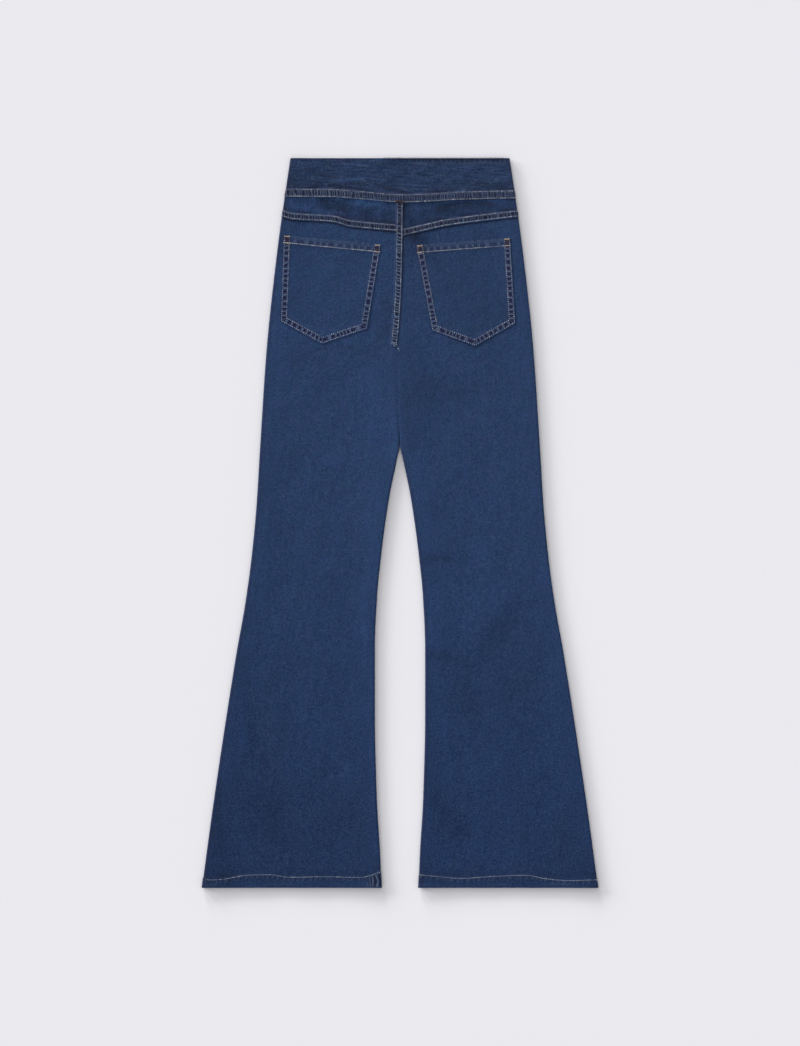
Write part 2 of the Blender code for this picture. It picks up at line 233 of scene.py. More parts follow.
@dataclass(frozen=True)
class Cut:
    """Sizes and outlines of the garment as it lies, within 1.5 mm of those of its solids."""

    length: float = 1.050
    wall: float = 0.0012
    band_wall: float = 0.0013
    seam_gap: float = 0.0003
    edge_height: float = 0.0050
    middle_underside: float = 0.0023
    band_underside: float = 0.0025
    front_band_depth: float = 0.0565
    edge_spread: float = 0.030
    fell_width: float = 0.0098
    band_fell_width: float = 0.0118
    fell_rise: float = 0.0006
    fell_slope: float = 0.0013
    crotch_down: float = 0.272
    crotch_blend: float = 0.012
    fork_down: float = 0.416
    hem_rise: float = 0.0007
    pocket_wall: float = 0.0005
    pocket_mouth_depth: float = 0.0116
    pocket_fold_width: float = 0.0092
    pocket_rise: float = 0.0002

    side_seam: Curve = field(default_factory=lambda: Curve((
        (0.000, 0.1577), (0.045, 0.1645), (0.131, 0.1764), (0.275, 0.1920), (0.419, 0.2016),
        (0.500, 0.2066), (0.570, 0.2132), (0.640, 0.2226), (0.710, 0.2350), (0.850, 0.2570),
        (0.960, 0.2730), (1.050, 0.2850))))
    inseam: Curve = field(default_factory=lambda: Curve((
        (0.416, 0.0003), (0.440, 0.0056), (0.491, 0.0158), (0.563, 0.0259), (0.635, 0.0331),
        (0.707, 0.0360), (0.800, 0.0360), (0.923, 0.0331), (1.000, 0.0285), (1.050, 0.0265))))
    seat_seam: Curve = field(default_factory=lambda: Curve((
        (0.000, 0.0046), (0.070, 0.0044), (0.180, 0.0024), (0.246, -0.0016), (0.272, -0.0040),
        (0.310, -0.0036), (0.416, 0.0))))
    waist_seam: Curve = field(default_factory=lambda: Curve((
        (-0.163, 0.0562), (-0.098, 0.0564), (-0.059, 0.0594), (0.006, 0.0641), (0.037, 0.0632),
        (0.088, 0.0602), (0.166, 0.0584))))
    yoke_seams: dict[Side, Curve] = field(default_factory=lambda: {
        Side.LEFT: Curve(((-0.170, 0.0846), (-0.1555, 0.0889), (-0.097, 0.0926), (-0.072, 0.0993),
                          (0.004, 0.1064))),
        Side.RIGHT: Curve(((0.004, 0.1122), (0.037, 0.1047), (0.063, 0.0988), (0.101, 0.0932),
                           (0.170, 0.0852)))})
    # How far above the bottom edge the hem's stitches run
    hem_rows: dict[Side, Curve] = field(default_factory=lambda: {
        Side.LEFT: Curve(((-0.2815, 0.0150), (-0.2760, 0.0113), (-0.2580, 0.0122), (-0.2160, 0.0184),
                          (-0.1870, 0.0188), (-0.1610, 0.0152), (-0.1090, 0.0160), (-0.0560, 0.0150),
                          (-0.0390, 0.0190), (-0.0290, 0.0228))),
        Side.RIGHT: Curve(((0.0270, 0.0190), (0.0580, 0.0160), (0.0840, 0.0136), (0.1350, 0.0165),
                           (0.1830, 0.0181), (0.2090, 0.0132), (0.2400, 0.0105), (0.2820, 0.0116)))})

    def outer_edge(self, side: Side, down: Array) -> Array:
        """X of the side seam's outermost line."""
        return side.sign * self.side_seam(down)

    def inner_edge(self, side: Side, down: Array) -> Array:
        """X of a panel's edge at the seat seam, or of the inseam below the crotch."""
        gap = np.where(np.asarray(down) > self.fork_down, self.inseam(down), 0.0)
        return self.seat_seam(down) + side.sign * (self.seam_gap / 2.0 + gap)

    def inseam_bend(self, down: Array) -> Array:
        """How far the inner edge bends to the other layer: 0 on the seat seam, 1 on the inseam."""
        return ease(self.crotch_down - self.crotch_blend, self.crotch_down + self.crotch_blend, down)

    def inseam_lift(self, down: Array) -> Array:
        """How far the back's inner edge has risen to the inseam's height."""
        return ease(self.crotch_down - 4.0 * self.crotch_blend, self.crotch_down - self.crotch_blend, down)

    def felled(self, offset: Array, width: float) -> Array:
        """1 on the doubled cloth within a width of an edge, sloping down to 0 beyond it."""
        return fade(width, width + self.fell_slope, offset)

    def arc_length(self, wall: float) -> float:
        """Length of a bend of a wall's neutral line."""
        return (self.edge_height - wall) / 2.0 * math.pi / 2.0

    def arc_starts(self, side: Side, down: Array) -> tuple[Array, Array]:
        """X where a leg's bends at its outer and inner edges start."""
        reach = mix(self.arc_length(self.wall), self.edge_height / 2.0, self.inseam_bend(down))
        return (self.outer_edge(side, down) - side.sign * self.edge_height / 2.0,
                self.inner_edge(side, down) + side.sign * reach)


CUT = Cut()


def crease_table(height_scale: float, *rows: Sequence[float]) -> tuple[Crease, ...]:
    """Read rows of a crease's ends and width, in mm, and its height, which is divided by a scale."""
    return tuple(Crease(*(size / MM_PER_M for size in row[:5]), row[5] / height_scale) for row in rows)


# Each row: across, down, end across, end down, width and height in mm, of the largest folds, which the
# solids have too
FOLDS = crease_table(MM_PER_M,
    (22, 307, 94, 344, 26, -0.4), (-26, 318, -30, 560, 20, 0.7), (30, 330, 40, 500, 18, 0.3),
    (173, 652, 137, 707, 16, -0.6), (150, 640, 118, 690, 18, 0.5), (43, 713, 101, 743, 14, -0.4),
    (37, 916, 94, 977, 14, -0.6), (60, 905, 118, 965, 16, 0.6), (-223, 732, -206, 797, 16, -0.6),
    (-206, 797, -199, 868, 18, -0.6), (-199, 868, -200, 977, 18, -0.6), (-178, 790, -168, 900, 22, 0.6),
    (-200, 995, -155, 997, 20, -0.4), (-65, 866, -108, 894, 16, -0.4), (140, 820, 165, 960, 24, 0.6),
    (205, 780, 222, 930, 20, -0.5), (-110, 600, -125, 760, 26, 0.4),
)
# Sharper creases of the back
CREASES = crease_table(MM_PER_M,
    (36, 575, 72, 581, 5, -0.6), (50, 506, 72, 520, 7, -0.3), (43, 713, 68, 722, 6, -0.4),
    (68, 722, 101, 743, 6, -0.4), (50, 775, 65, 794, 6, -0.3), (37, 916, 94, 977, 7, -0.5),
    (-223, 732, -206, 797, 8, -0.4), (-206, 797, -199, 868, 9, -0.4), (-267, 981, -245, 1006, 6, -0.4),
    (-238, 770, -230, 790, 5, -0.4), (-65, 866, -108, 894, 7, -0.3), (-85, 905, -110, 917, 7, -0.3),
    (-112, 59, -79, 71, 5, -0.6), (69, 69, 94, 63, 3.5, -0.6), (101, 62, 130, 65, 3.5, -0.4),
    (8, 72, 22, 95, 6, -0.5), (6, 112, 36, 121, 6, -0.4), (-120, 277, -106, 276, 3, -0.3),
    (-86, 271, -69, 275, 3, -0.3), (-30, 262, -14, 244, 4, -0.4), (-32, 285, -10, 300, 4, -0.2),
    (10, 262, 40, 275, 5, -0.3),
)
# Creases of the hidden front, which are pressed flat against the floor
FRONT_CREASES = crease_table(MM_PER_M,
    (-50, 250, -120, 285, 7, -0.4), (45, 262, 110, 300, 8, -0.4), (-30, 330, -90, 360, 7, -0.3),
    (40, 345, 105, 370, 6, -0.3), (-180, 640, -130, 690, 8, -0.4), (120, 600, 175, 640, 7, -0.3),
    (-100, 720, -60, 745, 7, -0.3), (190, 760, 205, 900, 11, -0.4), (-220, 800, -210, 930, 10, -0.4),
    (80, 900, 130, 950, 8, -0.3),
)

# Painted shade and painted light over the folds, creases and laps, with the wash's darker and lighter
# patches: the last number is a share of its brightness
TONES = crease_table(1.0,
    (34, 325.5, 80, 333, 20, -0.15), (140, 693, 90, 760, 26, -0.08), (105, 789, 111, 790, 13, -0.14),
    (40, 712, 80, 722, 6, -0.1), (46, 920, 94, 974, 12, -0.12), (-224, 790, -205, 850, 10, -0.05),
    (-199, 866, -198, 1010, 10, -0.04), (-262, 970, -255, 1035, 18, -0.2),
    (-266, 1015, -150, 1020, 12, -0.07), (-160, 960, -145, 1010, 18, -0.06),
    (230, 1010, 275, 1030, 16, -0.13), (-45, 305, -24, 420, 16, 0.12), (-12, 330, -10, 430, 7, 0.12),
    (-28, 480, -50, 680, 12, 0.13), (-46, 680, -44, 800, 12, 0.13), (-40, 820, -36, 960, 6, 0.12),
    (-180, 770, -180, 980, 20, -0.1), (-80, 940, -50, 1010, 26, -0.09), (-120, 880, -95, 910, 14, -0.07),
    (165, 660, 168, 760, 24, -0.07), (120, 560, 145, 655, 16, 0.09), (40, 697, 56, 702, 10, 0.12),
    (-190, 870, -186, 1000, 16, -0.09), (-235, 790, -222, 845, 12, 0.11),
    (-176, 770, -180, 830, 12, 0.07), (-258, 900, -262, 950, 6, -0.16), (-200, 270, -205, 420, 16, 0.07),
    (152, 355, 165, 400, 18, 0.07), (-180, 110, -177, 150, 9, -0.13), (-164, 20, -168, 75, 6, -0.16),
    (40, 243, 62, 258, 7, 0.12), (-18, 50, -12, 95, 8, -0.13), (235, 960, 255, 1010, 24, -0.09),
    (-255, 1034, 255, 1034, 9, -0.2), (75, 615, 110, 640, 16, 0.09), (-60, 430, -24, 460, 20, 0.05),
    (10, 345, 60, 350, 12, -0.08), (10, 345, 14, 420, 6, -0.1), (10, 137, 50, 142, 10, -0.1),
    (22, 430, 40, 560, 14, 0.14), (45, 620, 52, 690, 13, 0.15), (48, 735, 60, 780, 12, 0.14),
    (62, 800, 68, 890, 13, 0.15), (110, 920, 125, 1000, 22, 0.08), (185, 860, 200, 930, 30, 0.07),
    (222, 600, 262, 900, 10, 0.1), (-206, 550, -190, 700, 16, 0.06), (-140, 790, -110, 830, 28, 0.06),
    (-148, 866, -110, 900, 16, 0.07), (-172, 145, -176, 200, 10, 0.12), (-176, 245, -172, 305, 14, 0.14),
    (92, 300, 94, 330, 10, 0.1), (126, 290, 170, 400, 30, -0.07), (10, 130, 22, 240, 18, -0.09),
    (100, 150, 110, 240, 40, -0.11), (-30, 205, -18, 250, 10, -0.13), (-130, 295, -110, 300, 14, -0.06),
    (40, 574, 75, 581, 5, -0.18), (50, 506, 72, 522, 8, -0.07), (-158, 866, -144, 950, 14, 0.03),
    (6, 112, 36, 121, 9, -0.32), (55, 73, 94, 65, 8, -0.36), (101, 63, 130, 66, 6, -0.3),
    (10, 72, 20, 108, 10, -0.36), (30, 85, 150, 76, 18, -0.17), (110, 105, 145, 112, 14, -0.12),
    (-62, 60, -30, 63, 5, 0.28), (-75, 84, -10, 93, 4, -0.22), (-112, 63, -79, 74, 6, -0.36),
    (-79, 71, -45, 78, 6, -0.26), (-155, 64, -122, 68, 8, 0.14), (-45, 85, -12, 100, 10, -0.14),
    (-160, 66, -100, 84, 7, 0.16), (-60, 63, -12, 67, 6, 0.24), (-165, 33, -125, 37, 7, -0.2),
    (-152, 14, -130, 17, 4, -0.16), (-148, 8, -110, 11, 4, 0.16), (-126, 22, -90, 27, 4, -0.2),
    (-102, 39, -69, 42, 2.8, -0.32), (-98, 34, -76, 31, 2, 0.24), (-76, 31, -50, 29, 1.9, 0.65),
    (-72, 36, -52, 37, 2, -0.3), (-90, 33, -78, 32, 1.8, 0.4), (-40, 31, -22, 33, 1.9, 0.45),
    (-50, 9, -34, 11, 2, 0.35), (-140, 22, -128, 20, 2, 0.3), (0, 40, 30, 37, 1.8, 0.22),
    (-36, 37, -20, 41, 2.4, -0.26), (-22, 43, 3, 47, 2.4, -0.44), (-60, 20, -5, 22, 5, 0.06),
    (-85, 8, -55, 10, 2.2, 0.28), (-78, 14, -45, 18, 2.2, 0.2), (26, 22, 41, 26, 2.6, -0.34),
    (24, 27, 40, 31, 2, 0.2), (28, 17, 52, 26, 2, 0.2), (62, 16, 90, 31, 2.4, 0.18),
    (80, 37, 112, 37, 4, -0.14), (112, 36, 150, 43, 3.6, -0.28), (105, 30, 150, 30, 3, 0.14),
    (140, 20, 158, 24, 3, 0.18), (90, 18, 120, 20, 8, 0.1), (-120, 277, -106, 276, 4, -0.16),
    (-86, 271, -69, 275, 4, -0.16), (-30, 262, -14, 244, 6, -0.14), (-142, 13, -125, 14, 6, 0.1),
    (-34, 1, -4, 1, 4, 0.32), (-80, 3, -60, 16, 7, -0.1), (-166, 66, -165, 82, 7, -0.18),
    (-108, 80, -60, 92, 7, -0.16), (12, 72, 20, 82, 6, 0.15), (105, 92, 125, 96, 8, 0.1),
    (30, 130, 55, 150, 14, -0.09), (-100, 135, -80, 150, 12, -0.06), (150, 215, 155, 235, 8, -0.12),
    (25, 240, 30, 262, 10, 0.1), (-6, 262, -4, 272, 6, -0.14), (-36, 236, -30, 250, 8, -0.12),
    (-2, 175, 2, 205, 8, 0.12), (-16, 205, -14, 225, 6, -0.1), (-46, 285, -40, 305, 14, -0.1),
    (-160, 160, -165, 235, 10, 0.14), (-165, 240, -112, 262, 9, 0.14), (-104, 258, -76, 256, 9, 0.16),
    (-76, 256, -50, 242, 9, 0.08), (-40, 175, -36, 215, 8, 0.18), (108, 280, 115, 315, 12, 0.08),
    (-106, 580, -98, 590, 10, 0.1), (108, 500, 112, 515, 14, 0.1), (40, 430, 44, 450, 10, 0.07),
    (-40, 520, -36, 556, 10, 0.08), (70, 640, 98, 700, 18, 0.08), (205, 580, 212, 610, 10, 0.08),
    (-210, 640, -205, 660, 10, 0.08), (58, 775, 66, 785, 10, -0.08), (-196, 800, -192, 820, 10, -0.08),
    (-140, 840, -134, 852, 10, -0.08), (-46, 840, -44, 875, 8, 0.1), (-118, 868, -110, 876, 9, 0.1),
    (-112, 915, -106, 925, 10, -0.08), (46, 985, 52, 1005, 12, 0.12), (-38, 970, -36, 1000, 8, 0.12),
    (-262, 1010, -254, 1020, 8, 0.12), (-280, 1020, -276, 1046, 8, -0.15), (88, 970, 100, 980, 12, -0.1),
    (248, 1010, 254, 1030, 10, 0.1), (278, 1035, 282, 1046, 8, -0.15), (-210, 930, -120, 960, 50, -0.07),
    (-112, 30, -85, 40, 8, -0.1), (-162, 38, -162, 72, 6, -0.1), (150, 150, 152, 235, 8, -0.08),
    (-150, 57.2, -98, 57.4, 1.6, 0.45), (-98, 57.4, -74, 59.4, 1.6, 0.3),
    (-72, 59.8, -24, 63.2, 1.5, 0.4), (14, 65, 58, 63.1, 1.4, 0.2), (65, 62.8, 150, 60, 1.8, 0.55),
    (72, 95.7, 101, 91.4, 1, 0.5), (101, 91.4, 160, 84.6, 1, 0.5), (10, 109, 58, 98.2, 1, 0.2),
    (-66, 98.6, -10, 103.8, 1, -0.25),
)

# Each pocket's corners from the outer top round by the inner top to the outer bottom, and the share of its
# width at which its tip is
POCKET_CORNERS = {
    Side.LEFT: ((-0.1674, 0.1109), (-0.0274, 0.1244), (-0.0472, 0.2454), (-0.1121, 0.2673),
                (-0.1718, 0.2350), 0.55),
    Side.RIGHT: ((0.1586, 0.1149), (0.0230, 0.1252), (0.0461, 0.2480), (0.1080, 0.2705),
                 (0.1661, 0.2377), 0.51),
}

WAIST_GATHER = Gather(0.0036, 0.00045, 0.0013, 0.0112, 0.08, 0.006, 11)
YOKE_GATHER = Gather(0.0042, 0.00055, 0.0020, 0.0093, 0.12, 0.006, 12)
SEAT_GATHER = Gather(0.0050, 0.00060, 0.0014, 0.0083, 0.30, 0.005, 13)
POCKET_GATHER = Gather(0.0078, 0.00045, 0.0014, 0.0084, 0.04, 0.004, 14)
MOUTH_GATHER = Gather(0.0110, 0.00035, 0.0036, 0.0106, 0.10, 0.003, 15)
HEM_GATHER = Gather(0.0076, 0.00050, 0.0002, 0.0056, 0.10, 0.007, 16)
EDGE_GATHER = Gather(0.0090, 0.00030, -0.0010, 0.0050, 0.40, 0.004, 17, False)
TURNED_GATHER = Gather(0.0072, 0.00030, -0.0010, 0.0078, 0.0, 0.003, 19)
POCKET_DRAG = Gather(0.0070, 0.00030, OFF_PIECE, 0.0, 0.30, 0.004, 21, False)


# --------------------------------------------------------------------------------------- relief

@dataclass
class Relief:
    """Height added to a surface's points, with the wear and the painted shade that go with it.

    The shade painted into the colour along edges, under laps and in hollows and troughs runs from 0 to
    about 1, and worn runs the same where the cloth has rubbed pale. On a felled band, seam is the strength
    of its puckers, along counts them and between runs from 0 at one row of stitches to 1 at the other.
    """

    across: Array
    down: Array
    # How much of TONES, painted light and shade with the wash's patches, the surface takes
    painted_light_and_wash_share: float = 1.0
    height: Array = field(init=False)
    valley: Array = field(init=False)
    worn: Array = field(init=False)
    seam: Array = field(init=False)
    along: Array = field(init=False)
    between: Array = field(init=False)

    def __post_init__(self) -> None:
        """Start flat and unworn."""
        self.height, self.valley, self.worn, self.seam, self.along = (np.zeros_like(self.across)
                                                                      for _ in range(5))
        self.between = np.full_like(self.across, -1.0)

    def wear_and_shade(self) -> dict[str, Array]:
        """The numbers that the cloth's material reads at each point: its wear, and its painted shade and
        light.
        """
        # Painted shade from edges, laps and hollows, and painted light and shade from TONES, go to the
        # material
        return {"valley": np.clip(self.valley, 0.0, 1.0), "worn": np.clip(self.worn, 0.0, 1.0),
                "painted_light_and_wash": crease_height(TONES, self.across, self.down) * self.painted_light_and_wash_share,
                "seam": self.seam, "along": self.along, "between": self.between}

    def gather(self, gather: Gather, run: Array, offset: Array, share: Any = 1.0) -> None:
        """Add the puckers between two rows of stitches, and the drag lines beyond them.

        Args:
            gather: the puckers' sizes.
            run: distance along the seam.
            offset: distance from the seam's edge into the piece.
            share: how much of it to add, a number or one for each point.
        """
        soft, reach = 0.0008, 0.0016
        drag_height, drag_shade, drag_wear = 0.35, 0.22, 0.16
        band = ease(gather.near - soft, gather.near + soft, offset)
        band = band * fade(gather.far - soft, gather.far + soft, offset)
        beyond = np.exp(-np.clip(offset - gather.far, 0.0, None) / gather.reach)
        beyond = beyond * (offset > gather.far)
        phase = run / gather.pitch + gather.slant * offset / gather.pitch
        phase = phase + 0.45 * wobble(run, 4.0 * gather.pitch, gather.seed)
        phase = phase + 0.10 * wobble(offset + run * 0.7, 2.5 * gather.pitch, gather.seed + 100)
        bump = 0.5 + 0.5 * np.cos(2.0 * math.pi * phase)
        size = 0.62 + 0.38 * wobble(run, 3.1 * gather.pitch, gather.seed + 200)
        size = np.clip(size, 0.12, 1.1) * share
        self.height += gather.height * size * (bump - 0.5) * (band + drag_height * beyond)
        # Painted shade in the troughs of the drag lines; the paler crests are real rubbing
        self.valley += drag_shade * size * beyond * (1.0 - bump)
        self.worn += drag_wear * size * beyond * bump ** 2
        strength = ease(gather.near - reach - soft, gather.near - reach, offset) * share
        strength = strength * fade(gather.far + reach, gather.far + reach + soft, offset)
        stronger = (strength > self.seam) & gather.marked
        self.seam = np.where(stronger, strength, self.seam)
        self.along = np.where(stronger, phase, self.along)
        self.between = np.where(stronger, (offset - gather.near) / (gather.far - gather.near), self.between)

    def groove(self, offset: Array, at: Any, share: Any = 1.0) -> None:
        """Press a row of stitches into the cloth, at a distance from a seam's edge."""
        depth, width = 0.0003, 0.0009
        self.height -= depth * share * bell(offset - at, width)

    def rows(self, gather: Gather, offset: Array, share: Any = 1.0) -> None:
        """Press both of a seam's rows of stitches into the cloth."""
        for row in (gather.near, gather.far):
            self.groove(offset, row, share)

    def hollow(self, run: Array, offset: Array, at: float, share: float, seed: int) -> None:
        """Sink the cloth unevenly just beyond a row of stitches, and paint shade into the hollow."""
        depth, width, beyond, pitch = 0.0003, 0.0019, 0.0022, 0.032
        shape = bell(offset - at - beyond, width)
        uneven = share * np.clip(0.55 + 0.75 * wobble(run, pitch, seed), 0.0, 1.2)
        self.height -= depth * shape * uneven
        self.valley += 0.75 * shape * uneven

    def edge_shade(self, offset: Array, width: float, share: Any = 1.0) -> None:
        """Paint shade into the colour close to an edge."""
        self.valley += share * bell(np.clip(offset, 0.0, None), width)


def crease_height(creases: Sequence[Crease], across: Array, down: Array) -> Array:
    """Sum of soft creases at the points of a surface."""
    total = np.zeros_like(across)
    for crease in creases:
        run_x, run_y = crease.end_across - crease.across, crease.end_down - crease.down
        from_x, from_y = across - crease.across, down - crease.down
        share = np.clip((from_x * run_x + from_y * run_y) / (run_x ** 2 + run_y ** 2), 0.0, 1.0)
        near = np.hypot(from_x - share * run_x, from_y - share * run_y)
        total += crease.height * bell(near, crease.width)
    return total


def line_distance(points: Sequence[Point], across: Array, down: Array) -> tuple[Array, Array]:
    """Measure points against a line of straight stretches.

    Returns:
        The distance along the line of each point's nearest place on it, and the distance to it.
    """
    best = np.full_like(across, 1e9)
    run = np.zeros_like(across)
    passed = 0.0
    for start, end in zip(points, points[1:]):
        step = np.array(end) - np.array(start)
        length = float(np.hypot(*step))
        from_x, from_y = across - start[0], down - start[1]
        share = np.clip((from_x * step[0] + from_y * step[1]) / length ** 2, 0.0, 1.0)
        near = np.hypot(from_x - share * step[0], from_y - share * step[1])
        closer = near < best
        best = np.where(closer, near, best)
        run = np.where(closer, passed + share * length, run)
        passed += length
    return run, best


# --------------------------------------------------------------------------------------- shaders

class NodeTree:
    """A node tree that nodes are added to."""

    def __init__(self, tree: bpy.types.NodeTree) -> None:
        """Store the tree."""
        self.tree = tree

    def node(self, kind: str, settings: dict[str, Any] | None = None,
             sockets: dict[Any, Any] | None = None) -> bpy.types.Node:
        """Add a node.

        Args:
            kind: the node's type.
            settings: its properties, which are set first.
            sockets: a value or a link for each input, by name or number.

        Returns:
            The new node.
        """
        made = self.tree.nodes.new(kind)
        for name, value in (settings or {}).items():
            setattr(made, name, value)
        for key, value in (sockets or {}).items():
            self.feed(made.inputs[key], value)
        return made

    def feed(self, socket: bpy.types.NodeSocket, value: Any) -> None:
        """Set an input to a value, or link it to a term or a socket."""
        if isinstance(value, Term):
            value = value.socket
        if isinstance(value, bpy.types.NodeSocket):
            self.tree.links.new(value, socket)
        else:
            socket.default_value = value


class Graph(NodeTree):
    """A material's node tree."""

    def __init__(self, name: str) -> None:
        """Make a material with one Principled BSDF."""
        self.material = bpy.data.materials.new(name)
        self.material.use_nodes = True
        super().__init__(self.material.node_tree)
        self.surface = self.tree.nodes["Principled BSDF"]

    def finish(self, sockets: dict[str, Any]) -> bpy.types.Material:
        """Set or link the surface's inputs, and return the material."""
        for name, value in sockets.items():
            self.feed(self.surface.inputs[name], value)
        return self.material

    def bump(self, strength: float, distance: float, height: Any) -> bpy.types.NodeSocket:
        """A normal that a height tilts."""
        sockets = {"Strength": strength, "Distance": distance, "Height": height}
        return self.node("ShaderNodeBump", sockets=sockets).outputs[0]

    def noise(self, place: tuple[Any, Any, Any], detail: float = 2.0, roughness: float = 0.5) -> Term:
        """Smooth noise of scale 1 from about -0.5 to 0.5 at a place."""
        vector = self.node("ShaderNodeCombineXYZ", sockets=dict(enumerate(place))).outputs[0]
        made = self.node("ShaderNodeTexNoise", {"noise_dimensions": "3D"},
                         {"Vector": vector, "Scale": 1.0, "Detail": detail, "Roughness": roughness})
        return Term(self, made.outputs[0]) - 0.5

    def attribute(self, name: str) -> Term:
        """A number that the mesh holds at its points."""
        made = self.node("ShaderNodeAttribute", {"attribute_type": "GEOMETRY", "attribute_name": name})
        return Term(self, made.outputs["Fac"])

    def place(self) -> tuple[Term, Term, Term]:
        """The point's object coordinates."""
        coordinates = self.node("ShaderNodeTexCoord").outputs["Object"]
        split = self.node("ShaderNodeSeparateXYZ", sockets={0: coordinates})
        return tuple(Term(self, socket) for socket in split.outputs)

    def blend(self, share: Any, first: Any, second: Any) -> bpy.types.NodeSocket:
        """Mix two colours by a share from 0 to 1."""
        made = self.node("ShaderNodeMix", {"data_type": "RGBA", "clamp_factor": True},
                         {0: share, 6: first, 7: second})
        return made.outputs[2]

    def scaled(self, colour: Any, factor: Any) -> bpy.types.NodeSocket:
        """Brighten or darken a colour."""
        value = colour[:3] if isinstance(colour, tuple) else colour
        made = self.node("ShaderNodeVectorMath", {"operation": "SCALE"}, {0: value, "Scale": factor})
        return made.outputs[0]

    def added(self, first: Any, second: Any, least: tuple[float, float, float]) -> bpy.types.NodeSocket:
        """Add two colours, and keep the sum over a least colour."""
        total = self.node("ShaderNodeVectorMath", {"operation": "ADD"}, {0: first, 1: second})
        made = self.node("ShaderNodeVectorMath", {"operation": "MAXIMUM"}, {0: total.outputs[0], 1: least})
        return made.outputs[0]


class Term:
    """A number in a node tree, with Python's operators."""

    def __init__(self, graph: Graph, socket: bpy.types.NodeSocket) -> None:
        """Wrap a socket."""
        self.graph = graph
        self.socket = socket

    def math(self, operation: str, *others: Any, clamp: bool = False) -> Term:
        """Add a Math node with this number first."""
        made = self.graph.node("ShaderNodeMath", {"operation": operation, "use_clamp": clamp},
                               dict(enumerate((self, *others))))
        return Term(self.graph, made.outputs[0])

    def __add__(self, other: Any) -> Term:
        """Add."""
        return self.math("ADD", other)

    __radd__ = __add__

    def __mul__(self, other: Any) -> Term:
        """Multiply."""
        return self.math("MULTIPLY", other)

    __rmul__ = __mul__

    def __sub__(self, other: Any) -> Term:
        """Subtract."""
        return self.math("SUBTRACT", other)

    def __rsub__(self, other: Any) -> Term:
        """Subtract this from a number."""
        return self * -1.0 + other

    def between(self, low: float, high: float) -> Term:
        """Rise from 0 at low to 1 at high, and stay there."""
        made = self.graph.node("ShaderNodeMapRange", {"interpolation_type": "SMOOTHSTEP"},
                               {0: self, 1: low, 2: high, 3: 0.0, 4: 1.0})
        return Term(self.graph, made.outputs[0])

    def sine(self) -> Term:
        """Sine of the number."""
        return self.math("SINE")


